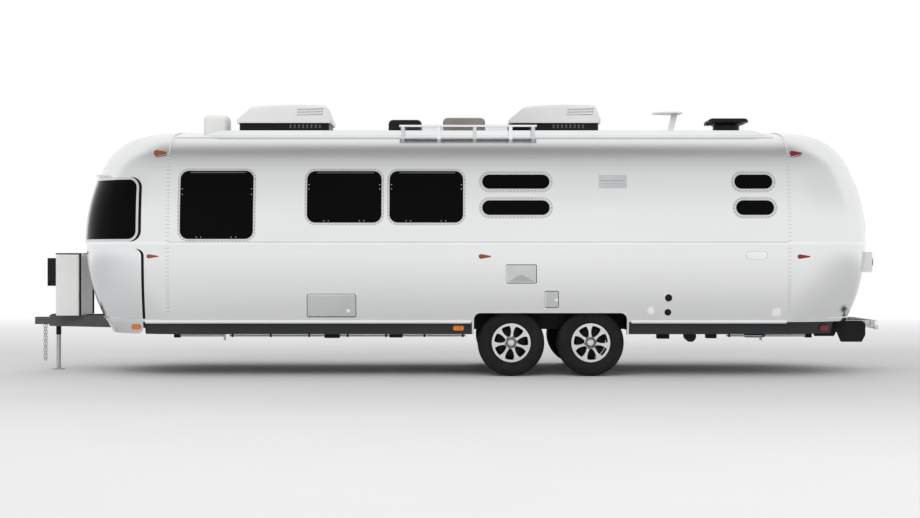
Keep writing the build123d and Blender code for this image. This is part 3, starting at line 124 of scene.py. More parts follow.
def noise(tree, scale, stretch=EVEN, detail=3.0):
    """Noise over the object's own coordinates, drawn out along the axes with a small stretch."""
    place = tree.nodes.new("ShaderNodeTexCoord")
    mapping = tree.nodes.new("ShaderNodeMapping")
    mapping.inputs["Scale"].default_value = stretch
    texture = tree.nodes.new("ShaderNodeTexNoise")
    texture.inputs["Scale"].default_value = scale
    texture.inputs["Detail"].default_value = detail
    tree.links.new(place.outputs["Object"], mapping.inputs["Vector"])
    tree.links.new(mapping.outputs["Vector"], texture.inputs["Vector"])
    return texture.outputs["Fac"]


def span(tree, value, low, high):
    """The middle of a noise mapped to a range."""
    ranged = tree.nodes.new("ShaderNodeMapRange")
    ranged.inputs["From Min"].default_value = NOISE_LOW
    ranged.inputs["From Max"].default_value = NOISE_HIGH
    ranged.inputs["To Min"].default_value = low
    ranged.inputs["To Max"].default_value = high
    tree.links.new(value, ranged.inputs["Value"])
    return ranged.outputs["Result"]


def tones(tree, value, dark, light):
    """Colour between two tones, by a noise."""
    mix = tree.nodes.new("ShaderNodeMix")
    mix.data_type = "RGBA"
    mix.inputs["A"].default_value = (*dark, 1)
    mix.inputs["B"].default_value = (*light, 1)
    tree.links.new(span(tree, value, 0, 1), mix.inputs["Factor"])
    return mix.outputs["Result"]


def bumped(tree, shader, layers):
    """Chain of bumps from (height, strength, distance) layers."""
    normal = None
    for height, strength, distance in layers:
        bump = tree.nodes.new("ShaderNodeBump")
        bump.inputs["Strength"].default_value = strength
        bump.inputs["Distance"].default_value = distance
        tree.links.new(height, bump.inputs["Height"])
        if normal is not None:
            tree.links.new(normal, bump.inputs["Normal"])
        normal = bump.outputs["Normal"]
    tree.links.new(normal, shader.inputs["Normal"])


def finish_of(
    name, dark, light, rough, metallic=0.0, specular=0.5, coat=0.0, tone=(2.0, EVEN), grain=(60.0, EVEN),
    grain_depth=0.0002, waves=None
):
    """A finish whose colour wanders between two tones and whose gloss and surface follow a grain.

    Tone and grain are (scale, stretch) of a noise, and waves are (scale, stretch, depth).
    """
    made, tree, shader = shader_of(name)
    shader.inputs["Metallic"].default_value = metallic
    shader.inputs["Specular IOR Level"].default_value = specular
    shader.inputs["Coat Weight"].default_value = coat
    patches = noise(tree, *tone)
    fibres = noise(tree, *grain, 4.0)
    tree.links.new(tones(tree, patches, dark, light), shader.inputs["Base Color"])
    tree.links.new(span(tree, fibres, *rough), shader.inputs["Roughness"])
    layers = [(fibres, GRAIN_STRENGTH, grain_depth)]
    if waves:
        layers.append((noise(tree, *waves[:2], 1.5), WAVE_STRENGTH, waves[2]))
    bumped(tree, shader, layers)
    return made


def solar_cells():
    """Dark cells in a bright grid, for the face of the solar panel."""
    made, tree, shader = shader_of("solar_cells")
    place = tree.nodes.new("ShaderNodeTexCoord")
    bricks = tree.nodes.new("ShaderNodeTexBrick")
    bricks.offset = 0.0
    bricks.inputs["Scale"].default_value = 1.0
    bricks.inputs["Brick Width"].default_value = SOLAR_CELL
    bricks.inputs["Row Height"].default_value = SOLAR_CELL
    bricks.inputs["Mortar Size"].default_value = 0.002
    bricks.inputs["Color1"].default_value = (0.012, 0.016, 0.035, 1)
    bricks.inputs["Color2"].default_value = (0.016, 0.021, 0.045, 1)
    bricks.inputs["Mortar"].default_value = (0.35, 0.36, 0.38, 1)
    tree.links.new(place.outputs["Object"], bricks.inputs["Vector"])
    tree.links.new(bricks.outputs["Color"], shader.inputs["Base Color"])
    shader.inputs["Roughness"].default_value = 0.12
    return made


finish = {
    "skin": finish_of(
        "skin", (0.79, 0.795, 0.80), (0.825, 0.83, 0.835), (0.17, 0.23), metallic=1.0,
        tone=(0.7, (0.25, 1, 1)), grain=(14.0, (0.03, 1, 1)), grain_depth=0.00001,
        waves=(1.1, (0.5, 1, 1.2), 0.0022)
    ),
    "trim": finish_of(
        "trim", (0.82, 0.83, 0.84), (0.88, 0.89, 0.90), (0.12, 0.20), metallic=1.0,
        grain=(30.0, (0.05, 1, 1)), grain_depth=0.00001
    ),
    # Aluminium of the window frames, also used to dull the solar panel's feet behind the two bright ones as
    # painted shade.
    "frame": finish_of(
        "frame", (0.60, 0.61, 0.62), (0.68, 0.69, 0.70), (0.16, 0.26), metallic=1.0, grain=(30.0, EVEN),
        grain_depth=0.00002
    ),
    # Dark metal of the rivets, wheel nuts and belt seals, also used for the ring of painted shade round each
    # wheel's cap.
    "rivet": finish_of("rivet", (0.13, 0.13, 0.135), (0.22, 0.22, 0.225), (0.25, 0.4), metallic=1.0),
    "guard": finish_of(
        "guard", (0.76, 0.77, 0.78), (0.82, 0.83, 0.84), (0.13, 0.20), metallic=1.0,
        tone=(1.5, (1, 1, 0.4)), grain=(20.0, (1, 1, 0.03)), grain_depth=0.00001,
        waves=(1.6, (1, 1, 0.4), 0.0025)
    ),
    "plate": finish_of(
        "plate", (0.58, 0.59, 0.60), (0.66, 0.67, 0.68), (0.20, 0.30), metallic=1.0,
        grain=(30.0, (0.06, 1, 1)), grain_depth=0.00001
    ),
    "band": finish_of(
        "band", (0.024, 0.025, 0.027), (0.036, 0.037, 0.039), (0.38, 0.52), specular=0.25,
        tone=(3.0, (0.3, 1, 1)), grain=(180.0, EVEN), grain_depth=0.0003
    ),
    # Dark paint of the tongue rails, coupler and cooler fins, also used for the strips of painted shadow
    # under the roof gutters.
    "rail_paint_and_gutter_shadow": finish_of(
        "rail_paint_and_gutter_shadow", (0.062, 0.063, 0.066), (0.088, 0.089, 0.092), (0.32, 0.48), specular=0.3,
        tone=(5.0, EVEN), grain=(220.0, EVEN), grain_depth=0.0004
    ),
    "chassis": finish_of(
        "chassis", (0.007, 0.007, 0.008), (0.015, 0.014, 0.013), (0.42, 0.62), specular=0.14,
        tone=(6.0, EVEN), grain=(160.0, EVEN), grain_depth=0.0005
    ),
    "glass": finish_of(
        "glass", (0.0006, 0.0007, 0.0008), (0.0012, 0.0013, 0.0015), (0.03, 0.06), specular=0.05,
        tone=(0.8, EVEN), grain=(3.0, EVEN), grain_depth=0.00001
    ),
    "glass_bar": finish_of(
        "glass_bar", (0.055, 0.055, 0.058), (0.08, 0.08, 0.083), (0.35, 0.45), metallic=0.6
    ),
    # Near-black colour of the edge seals, also used as painted shade on the walls of the shroud's air holes
    # and in the gas cover's groove.
    "seal": finish_of(
        "seal", (0.003, 0.003, 0.003), (0.006, 0.006, 0.006), (0.45, 0.6), specular=0.1,
        grain=(300.0, EVEN)
    ),
    "rubber": finish_of(
        "rubber", (0.008, 0.008, 0.008), (0.014, 0.0135, 0.013), (0.5, 0.7), specular=0.16,
        tone=(9.0, EVEN), grain=(420.0, EVEN), grain_depth=0.0006
    ),
    "alloy": finish_of(
        "alloy", (0.66, 0.67, 0.69), (0.76, 0.77, 0.78), (0.22, 0.33), metallic=1.0, tone=(8.0, EVEN),
        grain=(260.0, EVEN), grain_depth=0.0001
    ),
    # Near-black: the own dark of the drums and back plates, also used as painted shade on the wheels' barrels
    # and in their pockets.
    "drum_and_pocket_shade": finish_of(
        "drum_and_pocket_shade", (0.006, 0.006, 0.007), (0.018, 0.017, 0.016), (0.5, 0.7), specular=0.15,
        tone=(12.0, EVEN)
    ),
    "chrome": finish_of("chrome", (0.78, 0.79, 0.80), (0.84, 0.85, 0.86), (0.06, 0.12), metallic=1.0),
    "zinc": finish_of(
        "zinc", (0.42, 0.42, 0.40), (0.56, 0.55, 0.52), (0.30, 0.48), metallic=1.0, tone=(25.0, EVEN),
        grain=(200.0, EVEN)
    ),
    "white_plastic": finish_of(
        "white_plastic", (0.72, 0.72, 0.71), (0.77, 0.77, 0.76), (0.30, 0.42), specular=0.3,
        tone=(2.5, EVEN), grain=(350.0, EVEN), grain_depth=0.0002
    ),
    "black_plastic": finish_of(
        "black_plastic", (0.006, 0.006, 0.0065), (0.011, 0.011, 0.012), (0.30, 0.46), specular=0.16,
        grain=(400.0, EVEN), grain_depth=0.0003
    ),
    "smoked": finish_of(
        "smoked", (0.17, 0.16, 0.135), (0.24, 0.225, 0.19), (0.10, 0.18), coat=0.5, grain=(30.0, EVEN)
    ),
    "amber": finish_of(
        "amber", (0.66, 0.16, 0.012), (0.80, 0.24, 0.02), (0.12, 0.2), coat=0.5, tone=(60.0, EVEN),
        grain=(150.0, (1, 0.2, 0.2)), grain_depth=0.0008
    ),
    "amber_dark": finish_of(
        "amber_dark", (0.16, 0.045, 0.010), (0.30, 0.085, 0.014), (0.12, 0.2), specular=0.3, coat=0.2,
        tone=(60.0, EVEN), grain=(150.0, (1, 0.2, 0.2)), grain_depth=0.0008
    ),
    "red": finish_of(
        "red", (0.16, 0.008, 0.007), (0.26, 0.014, 0.011), (0.12, 0.2), specular=0.3, coat=0.2,
        tone=(60.0, EVEN), grain=(150.0, (1, 0.2, 0.2)), grain_depth=0.0008
    ),
    "plywood": finish_of(
        "plywood", (0.30, 0.22, 0.13), (0.42, 0.32, 0.20), (0.5, 0.7), tone=(4.0, (0.2, 1, 1)),
        grain=(60.0, (0.06, 1, 1)), grain_depth=0.0006
    ),
    "awning_cloth": finish_of(
        "awning_cloth", (0.55, 0.56, 0.57), (0.66, 0.67, 0.68), (0.6, 0.8), tone=(14.0, (0.02, 1, 1)),
        grain=(500.0, EVEN), grain_depth=0.0005
    ),
    "cells": solar_cells(),
}

NODES_OF_FINISH = {
    "skin": ("shell_front", "shell_rear", "wall_left", "wall_right", "roof", "entry_door"),
    "plywood": ("floor",),
    "trim": ("mouldings", "solar_panel", "roof_rails"),
    "guard": ("front_guards", "rear_bumper"),
    "band": ("skirts",),
    "chassis": ("wheel_wells", "main_rails", "cross_members", "axles", "under_brackets"),
    "glass": ("window_glass", "door_window"),
    "frame": ("window_frames",),
    "plate": ("storage_door_left", "storage_door_right", "heater_door", "service_door", "range_vent"),
    "rail_paint_and_gutter_shadow": ("tongue_rails", "coupler"),
    "black_plastic": ("jack_housing", "gas_lid", "entry_step", "cooler_bases", "fan_lid"),
    "zinc": ("jack_leg", "safety_chains"),
    "white_plastic": ("gas_cover", "cooler_shrouds", "roof_vents", "inlets"),
    "awning_cloth": ("awning",),
    "amber_dark": ("lamps",),
    "seal": ("edge_seals",),
}


def dress(name, *finishes, choose=None):
    """Give a node its finishes; choose picks one by number for each face, from its middle and normal."""
    mesh = nodes[name].data
    mesh.materials.clear()
    for key in finishes:
        mesh.materials.append(finish[key])
    if choose:
        for face in mesh.polygons:
            face.material_index = choose(face.center, face.normal)


for key, names in NODES_OF_FINISH.items():
    for name in names:
        dress(name, key)
for place in ("front", "rear"):
    for side in ("left", "right"):
        for kind, key in (("tyre", "rubber"), ("wheel", "alloy"), ("leg", "zinc")):
            dress(f"{kind}_{place}_{side}", key)


# Points and rays


def aside(distance):
    """Step towards the kerb side."""
    return Vector((0, distance, 0))


def upright(points):
    """Points of the XZ plane, from (x, z) pairs."""
    return [Vector((x, 0, z)) for x, z in points]


def oblong(x0, x1, z0, z1):
    """Corners of an upright rectangle."""
    return upright(((x0, z0), (x1, z0), (x1, z1), (x0, z1)))


def circle(radius, steps):
    """Points of an upright circle."""
    turns = [2 * pi * number / steps for number in range(steps)]
    return upright([(radius * cos(turn), radius * sin(turn)) for turn in turns])


def tree_of(*names):
    """Ray-casting tree over the faces of several nodes."""
    vertices, faces = [], []
    for name in names:
        mesh = nodes[name].data
        start = len(vertices)
        vertices.extend(v.co.copy() for v in mesh.vertices)
        faces.extend([start + i for i in face.vertices] for face in mesh.polygons)
    return BVHTree.FromPolygons(vertices, faces)


hull = tree_of(*HULL_NODES)
bare_hull = tree_of("shell_front", "shell_rear", "wall_left", "wall_right", "roof")
OUTSIDE_Y = 2.5  # rays to the sides start this far off the centre plane
OUTSIDE_R = 3.0  # and rays to the ends and the roof this far off their centre


def cast(tree, start, way):
    """Point and outward normal where a ray first meets a tree."""
    spot, normal, _, _ = tree.ray_cast(start, way)
    if spot is None:
        return None
    return spot, normal if normal.dot(way) < 0 else -normal


def on_side(x, z, side, tree=hull):
    """Point and outward normal of a side (-1 street, +1 kerb) at a station and a height."""
    return cast(tree, Vector((x, side * OUTSIDE_Y, z)), aside(-side))


def from_outside(centre, away):
    """Point and outward normal of the bare hull in a direction from a centre inside it."""
    return cast(bare_hull, centre + away * OUTSIDE_R, -away)


def heading(way, azimuth, elevation=0.0):
    """Direction towards an end (way -1 front, +1 rear), turned to the kerb and raised, in radians."""
    flat = cos(elevation)
    return Vector((way * cos(azimuth) * flat, sin(azimuth) * flat, sin(elevation)))


CORNER_STEPS = 8


def outline_points(x0, x1, z0, z1, radius, grow, step):
    """Points spaced about a step apart along a rounded outline, grown outwards."""
    x0, x1, z0, z1, radius = x0 - grow, x1 + grow, z0 - grow, z1 + grow, max(radius + grow, 0.001)
    radius = min(radius, (z1 - z0) / 2)
    corners = [
        (x1 - radius, z1 - radius, 0), (x0 + radius, z1 - radius, 90),
        (x0 + radius, z0 + radius, 180), (x1 - radius, z0 + radius, 270),
    ]
    path = []
    for cx, cz, start in corners:
        for number in range(CORNER_STEPS + 1):
            turn = radians(start + 90 * number / CORNER_STEPS)
            path.append((cx + radius * cos(turn), cz + radius * sin(turn)))
    path.append(path[0])
    points, travelled = [], 0.0
    for (ax, az), (bx, bz) in zip(path, path[1:]):
        length = ((bx - ax) ** 2 + (bz - az) ** 2) ** 0.5
        while travelled < length:
            share = travelled / length
            points.append((ax + (bx - ax) * share, az + (bz - az) * share))
            travelled += step
        travelled -= length
    return points


def outline_spots(side, outline, grow, step):
    """Places on a side, spaced along a grown outline."""
    return [on_side(x, z, side) for x, z in outline_points(*outline, grow, step)]


# Meshes


def piece(name, vertices, faces, key, body="trailer", sharp=35.0):
    """A new mesh piece with its finish, smooth up to an angle in degrees, riding on a body."""
    mesh = bpy.data.meshes.new(name)
    mesh.from_pydata([tuple(v) for v in vertices], [], faces)
    mesh.update()
    mesh.materials.append(finish[key])
    mesh.polygons.foreach_set("use_smooth", [True] * len(mesh.polygons))
    mesh.set_sharp_from_angle(angle=radians(sharp))
    made = bpy.data.objects.new(name, mesh)
    bpy.context.scene.collection.objects.link(made)
    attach(made, body)
    return made


def lattice(rows, count, round_rows=False, round_points=True, start=0):
    """Faces between rows of points; rows or points that go round join their last to their first."""
    faces = []
    for row in range(rows if round_rows else rows - 1):
        near, far = start + row * count, start + (row + 1) % rows * count
        for point in range(count if round_points else count - 1):
            beside = (point + 1) % count
            faces.append((near + point, near + beside, far + beside, far + point))
    return faces


def domes(name, places, radius, height, key, body="trailer", sides=7):
    """Rivet heads at points with normals, as one mesh; places that are None are left out."""
    vertices, faces = [], []
    for spot, normal in filter(None, places):
        across = normal.orthogonal().normalized()
        along = normal.cross(across)
        start = len(vertices)
        for reach, rise in ((radius, -0.0004), (0.72 * radius, 0.7 * height)):
            for number in range(sides):
                turn = 2 * pi * number / sides
                offset = across * (reach * cos(turn)) + along * (reach * sin(turn))
                vertices.append(spot + offset + normal * rise)
        vertices.append(spot + normal * height)
        top = start + 2 * sides
        faces.extend(lattice(2, sides, start=start))
        for number in range(sides):
            faces.append((start + sides + number, start + sides + (number + 1) % sides, top))
    return piece(name, vertices, faces, key, body, sharp=80)


def neighbours(row, number):
    """What stands before and after a place of a row, or the place itself at the row's ends."""
    return row[max(number - 1, 0)], row[min(number + 1, len(row) - 1)]


def ribbon(name, rows, width, lift, key="skin"):
    """Thin strips that follow the hull: each row is a list of (point, normal), widened across its run."""
    vertices, faces = [], []
    profile = ((-1.0, -0.001), (-0.9, lift), (0.9, lift), (1.0, -0.001))
    for row in rows:
        faces.extend(lattice(len(row), len(profile), round_points=False, start=len(vertices)))
        for number, (spot, normal) in enumerate(row):
            before, after = neighbours(row, number)
            across = normal.cross((after[0] - before[0]).normalized()).normalized() * (width / 2)
            vertices.extend(spot + across * reach + normal * rise for reach, rise in profile)
    return piece(name, vertices, faces, key, sharp=50)


def prism(outline, base, height):
    """Closed prism from an outline of points, the place of its base and its height as a vector."""
    low = [base + p for p in outline]
    high = [p + height for p in low]
    count = len(outline)
    faces = [tuple(range(count))[::-1], tuple(range(count, 2 * count))]
    return low + high, faces + lattice(2, count)


def block_part(x0, x1, y0, y1, z0, z1):
    """Six-sided part between two corners."""
    return prism(oblong(x0, x1, z0, z1), aside(y0), aside(y1 - y0))


def tube(start, end, radius, sides=12):
    """Round bar between two points, closed at its ends."""
    vertices = []
    along_axis = (end - start).normalized()
    across = along_axis.orthogonal().normalized()
    other = along_axis.cross(across)
    for spot in (start, end):
        for number in range(sides):
            turn = 2 * pi * number / sides
            vertices.append(spot + across * (radius * cos(turn)) + other * (radius * sin(turn)))
    caps = [tuple(range(sides))[::-1], tuple(range(sides, 2 * sides))]
    return vertices, lattice(2, sides) + caps


def joined(name, parts, key, body="trailer", sharp=35.0, bevel=0.0):
    """Several (vertices, faces) parts as one piece, with softened edges where a bevel is given."""
    vertices, faces = [], []
    for part_vertices, part_faces in parts:
        start = len(vertices)
        vertices.extend(part_vertices)
        faces.extend(tuple(start + i for i in face) for face in part_faces)
    made = piece(name, vertices, faces, key, body, sharp=sharp)
    if bevel:
        soft = made.modifiers.new("soft_edges", "BEVEL")
        soft.width = bevel
        soft.segments = 2
        soft.limit_method = "ANGLE"
    return made


def skin_layer(points, side, lift):
    """Points of an outline, lifted off the bare skin of a side."""
    placed = [on_side(x, z, side, bare_hull) for x, z in points]
    return [spot + normal * lift for spot, normal in placed]


def skin_plate(outline, side, low, high):
    """Plate that follows the hull's side between two lifts, from an outline's (x, z) points."""
    base, top = skin_layer(outline, side, low), skin_layer(outline, side, high)
    count = len(outline)
    middle = sum(top, Vector()) / count
    fan = [(count + number, count + (number + 1) % count, 2 * count) for number in range(count)]
    return base + top + [middle], lattice(2, count) + fan


def ring_plate(outline, inner, side, low, high):
    """Raised rim between two outlines with the same number of (x, z) points."""
    vertices = []
    for points, lift in ((outline, low), (outline, high), (inner, high), (inner, low)):
        vertices.extend(skin_layer(points, side, lift))
    return vertices, lattice(4, len(outline))


# Faces of the nodes that need more than one finish

BAND_LAMP_TOP_Z = 0.58
TAIL_LAMP_X, TAIL_LENS_X = 4.3, 4.6535
SOLAR_TOP_Z = 2.705
# Stations of the solar panel's feet behind the two bright ones, dulled as painted shade.
SOLAR_SHADED_LEGS = (-0.46, 0.31, 0.94)
COOLER_ENDS = (-1.309, 1.715)
# The drum and barrel take a near-black finish: the drum's own dark, and painted shade on the barrel and in
# the pockets.
DRUM_DEPTH = 0.045  # a wheel's faces nearer its middle than this are its drum and barrel
# Round each cap, a ring of painted shade that stands in for the nut recesses.
CAP_SHADE_RING = (0.0375, 0.0575)
AWNING_END_X = 2.118


def lamp_finish(middle, normal):
    """Chromed bases, amber and dark amber lenses, red lenses, and the tail lamps' white housings."""
    if middle.z < BAND_LAMP_TOP_Z:
        return 1 if middle.x < 1 else 3
    if middle.x > TAIL_LAMP_X:
        return 3 if middle.x > TAIL_LENS_X else 4
    if bare_hull.find_nearest(middle)[3] < LAMP_LENS_DEPTH:
        return 0
    return 2 if middle.x < 1 else 3


def vent_finish(middle, normal):
    """White vents and antenna, the smoked dome, the dark dome and the fan's black base."""
    if -0.1 < middle.x < 0.5:
        return 2
    return 1 if 2.90 < middle.x < 3.45 or -0.7 < middle.x < -0.25 else 0


def solar_finish(middle, normal):
    """Cells on top, a bright edge, and the duller frame finish as painted shade on the feet behind the two
    bright ones.
    """
    if middle.z > SOLAR_TOP_Z:
        return 1 if normal.z > 0.9 else 0
    return 2 if any(abs(middle.x - x) < 0.08 for x in SOLAR_SHADED_LEGS) else 0


def shroud_finish(middle, normal):
    """White shroud, with painted shade on the walls of its air holes, which take the near-black seal finish.
    """
    inside = 0.3525 < abs(middle.y) < 0.3646 and 2.87 < middle.z < 2.95
    return 1 if inside and any(end - 0.40 < middle.x < end - 0.07 for end in COOLER_ENDS) else 0


def awning_finish(middle, normal):
    """Cloth with white arms at its ends."""
    return 1 if abs(middle.x) > AWNING_END_X else 0


def wheel_finish(sign, centre, middle, normal):
    """Bright spokes and rim, a ring of painted shade round the cap for the nut recesses, and a near-black
    inside: the drum's own dark, with painted shade on the barrel and in the pockets.
    """
    if (middle.y - centre.y) * sign < DRUM_DEPTH:
        return 1
    reach = ((middle.x - centre.x) ** 2 + (middle.z - centre.z) ** 2) ** 0.5
    return 2 if CAP_SHADE_RING[0] < reach < CAP_SHADE_RING[1] else 0


dress("cooler_shrouds", "white_plastic", "seal", choose=shroud_finish)
dress("solar_panel", "trim", "cells", "frame", choose=solar_finish)
dress("lamps", "chrome", "amber", "amber_dark", "red", "white_plastic", choose=lamp_finish)
dress("roof_vents", "white_plastic", "black_plastic", "smoked", choose=vent_finish)
dress("awning", "awning_cloth", "white_plastic", choose=awning_finish)


# Wheels and tyres

TREAD_SEGMENTS = 176
LUG_SEGMENTS = 4
GROOVE = 0.007
# Section of the tyre from tread middle to bead: share of half the width, distance inside the full radius
TREAD_SECTION = [
    (0.00, 0.000), (0.10, 0.000), (0.105, 0.007), (0.145, 0.007), (0.15, 0.000), (0.40, 0.001),
    (0.405, 0.008), (0.455, 0.008), (0.46, 0.001), (0.70, 0.003), (0.80, 0.008), (0.88, 0.016),
    (0.925, 0.027),
]
SIDEWALL_SECTION = [
    (0.955, 0.040), (0.985, 0.062), (0.990, 0.066), (1.000, 0.070), (1.000, 0.076), (0.990, 0.080),
    (0.985, 0.095), (0.970, 0.112), (0.955, 0.122), (0.965, 0.125), (0.965, 0.131), (0.945, 0.134),
    (0.915, 0.145), (0.890, 0.150), (0.860, 0.158), (0.850, 0.164),
]
NUTS = 6
NUT_CIRCLE_R = 0.061
NUT_R, NUT_TIP_R = 0.0115, 0.0070
NUT_SEAT, NUT_LONG, NUT_TIP_LONG = 0.076, 0.026, 0.004
STEM_CIRCLE_R, STEM_TURN = 0.150, 1.1
BACK_PLATE_STEPS = 40
BACK_PLATE = [
    (0.120, -0.052), (0.120, -0.048), (0.140, -0.044), (0.150, -0.040), (0.164, -0.040), (0.168, -0.044),
    (0.168, -0.052),
]


def around(turn, radius, distance):
    """Point at a turn about a wheel's axis, a radius off it and a distance along it."""
    return Vector((radius * cos(turn), distance, radius * sin(turn)))


def groove_depth(number, share):
    """How deep a segment of the tread is cut at a share of half the width."""
    if 0.46 < abs(share) < 0.93 and (number + (2 if share > 0 else 0)) % LUG_SEGMENTS == 0:
        return GROOVE
    if 0.15 <= abs(share) <= 0.40 and number % (2 * LUG_SEGMENTS) == 1:
        return 0.6 * GROOVE
    return 0.0


def tyre(name, low, high, body):
    """Tyre with grooves, shoulder lugs and sidewall ribs, in the box of its node."""
    centre = (low + high) / 2
    radius, half = (high.z - low.z) / 2, (high.y - low.y) / 2
    half_section = TREAD_SECTION + SIDEWALL_SECTION
    section = [(-share, inside) for share, inside in reversed(half_section[1:])] + half_section
    vertices = []
    for number in range(TREAD_SEGMENTS):
        turn = 2 * pi * number / TREAD_SEGMENTS
        for share, inside in section:
            reach = radius - inside - groove_depth(number, share)
            vertices.append(centre + around(turn, reach, share * half))
    faces = lattice(TREAD_SEGMENTS, len(section), round_rows=True, round_points=False)
    return piece(name, vertices, faces, "rubber", body, sharp=28)


def wheel_nuts(name, centre, sign, body):
    """Six wheel nuts round the centre cap, and the valve stem."""
    parts = []
    length = aside(sign * NUT_LONG)
    for number in range(NUTS):
        spot = centre + around(2 * pi * number / NUTS + 0.2, NUT_CIRCLE_R, sign * NUT_SEAT)
        parts.append(prism(circle(NUT_R, 6), spot, length))
        parts.append(prism(circle(NUT_TIP_R, 6), spot + length, aside(sign * NUT_TIP_LONG)))
    parts.append(prism(circle(0.004, 6), centre + around(STEM_TURN, STEM_CIRCLE_R, sign * 0.070), length))
    joined(name, parts, "rivet", body, bevel=0.0015)


def brake_plate(name, centre, sign):
    """Ribbed back plate that closes the gap between the drum and the rim's barrel."""
    vertices = []
    for number in range(BACK_PLATE_STEPS):
        turn = 2 * pi * number / BACK_PLATE_STEPS
        vertices.extend(centre + around(turn, radius, sign * rise) for radius, rise in BACK_PLATE)
    piece(name, vertices, lattice(BACK_PLATE_STEPS, len(BACK_PLATE), round_rows=True), "drum_and_pocket_shade")


for place in ("front", "rear"):
    for side, sign in (("left", -1), ("right", 1)):
        corner = f"{place}_{side}"
        body = f"wheel_{corner}"
        low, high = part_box(f"tyre_{corner}")
        made = tyre(f"tyre_tread_{corner}", low, high, body)
        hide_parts(f"tyre_{corner}")
        centre = (low + high) / 2
        dress(f"wheel_{corner}", "alloy", "drum_and_pocket_shade", "rivet", choose=partial(wheel_finish, sign, centre))
        wheel_nuts(f"wheel_nuts_{corner}", centre, sign, body)
        brake_plate(f"brake_plate_{corner}", centre, sign)


# Seams and rivets

RING_STEPS = 120
RING_START, RING_SPAN = -33, 246  # degrees about the hull's long axis, from the kerb side over the roof
CAP_STEPS = 60
RISE_STEPS = 24
RISE_START, RISE_SPAN = 14, 62  # degrees above level
CAP_CENTRE_Z = 2.0
CAP_SEAMS = (-62, -31, 0, 31, 62)
ROOF_EDGE_STEPS = 66
ROOF_EDGE_Z = ROOF_SEAM_Z + 0.085
SEAM_RIVET = (0.0046, 0.0022)  # radius and height
SMALL_RIVET = (0.0040, 0.0020)
FRAME_RIVET = (0.0060, 0.0026)


def seam_ring(x):
    """The hull's ring at a station, from sill to sill over the roof."""
    row = []
    for number in range(RING_STEPS + 1):
        angle = radians(RING_START + RING_SPAN * number / RING_STEPS)
        found = from_outside(Vector((x, 0, HULL_AXIS_Z)), Vector((0, cos(angle), sin(angle))))
        if found and found[0].z > SILL_Z:
            row.append(found)
    return row


def cap_seams(seam_x, way):
    """Seams of an end cap: one round it at the roof's lower edge and five that rise from it to the crown."""
    level = Vector((seam_x, 0, ROOF_SEAM_Z))
    turns = [radians(-88 + 176 * number / CAP_STEPS) for number in range(CAP_STEPS + 1)]
    facing = [from_outside(level, heading(way, turn)) for turn in turns]
    rows = [[found for found in facing if found]]
    for azimuth in CAP_SEAMS:
        rising = []
        for number in range(RISE_STEPS + 1):
            elevation = radians(RISE_START + RISE_SPAN * number / RISE_STEPS)
            found = from_outside(Vector((seam_x, 0, CAP_CENTRE_Z)), heading(way, radians(azimuth), elevation))
            if found and found[0].z > ROOF_SEAM_Z:
                rising.append(found)
        rows.append(rising)
    return rows


def rivets_along(row, step, lift):
    """Places about a step apart along a row of places, raised off it."""
    places, travelled = [], step / 2
    for (a, normal), (b, _) in zip(row, row[1:]):
        length = (b - a).length
        while travelled < length:
            places.append((a.lerp(b, travelled / length) + normal * lift, normal))
            travelled += step
        travelled -= length
    return places


ring_rows = [seam_ring(FRONT_SEAM_X), seam_ring(REAR_SEAM_X)]
ribbon("seam_strips", ring_rows, 0.034, 0.0006)
ring_rivets = []
for row in ring_rows:
    for spot, normal in rivets_along(row, 0.042, 0.0009):
        ring_rivets.extend((spot + Vector((shift, 0, 0)), normal) for shift in (-0.010, 0.010))
domes("seam_rivets", ring_rivets, *SEAM_RIVET, "rivet")

dome_rows = cap_seams(FRONT_SEAM_X, -1) + cap_seams(REAR_SEAM_X, 1)
ribbon("dome_seams", dome_rows, 0.026, 0.0006)
dome_rivets = [place for row in dome_rows for place in rivets_along(row, 0.05, 0.0008)]
domes("dome_rivets", dome_rivets, *SMALL_RIVET, "plate")

roof_edge_rows = []
for side in (-1, 1):
    row = []
    for number in range(ROOF_EDGE_STEPS + 1):
        x = FRONT_SEAM_X + (REAR_SEAM_X - FRONT_SEAM_X) * number / ROOF_EDGE_STEPS
        row.append(on_side(x, ROOF_EDGE_Z, side, bare_hull))
    roof_edge_rows.append([found for found in row if found])
ribbon("roof_edge_seams", roof_edge_rows, 0.022, 0.0007)
roof_edge_rivets = [place for row in roof_edge_rows for place in rivets_along(row, 0.075, 0.0007)]
domes("roof_edge_rivets", roof_edge_rivets, *SMALL_RIVET, "plate")

frame_rivets = []
for side, *outline in WINDOWS:
    oval = outline[3] - outline[2] < OVAL_HEIGHT
    frame_rivets.extend(outline_spots(side, outline, 0.016 if oval else 0.011, 0.038))
domes("frame_rivets", frame_rivets, *FRAME_RIVET, "rivet")

door_rivets = outline_spots(1, DOOR_OUTLINE, -0.022, 0.055) + outline_spots(1, DOOR_WINDOW, 0.011, 0.045)
domes("door_rivets", door_rivets, 0.0042, 0.0022, "plate", body="entry_door")
domes("vent_rivets", outline_spots(-1, RANGE_VENT, -0.009, 0.034), 0.0036, 0.0020, "trim")


# Window fittings

BAR_STEPS = 12
BAR_DROP = 0.024
LATCH_EDGE = 0.026

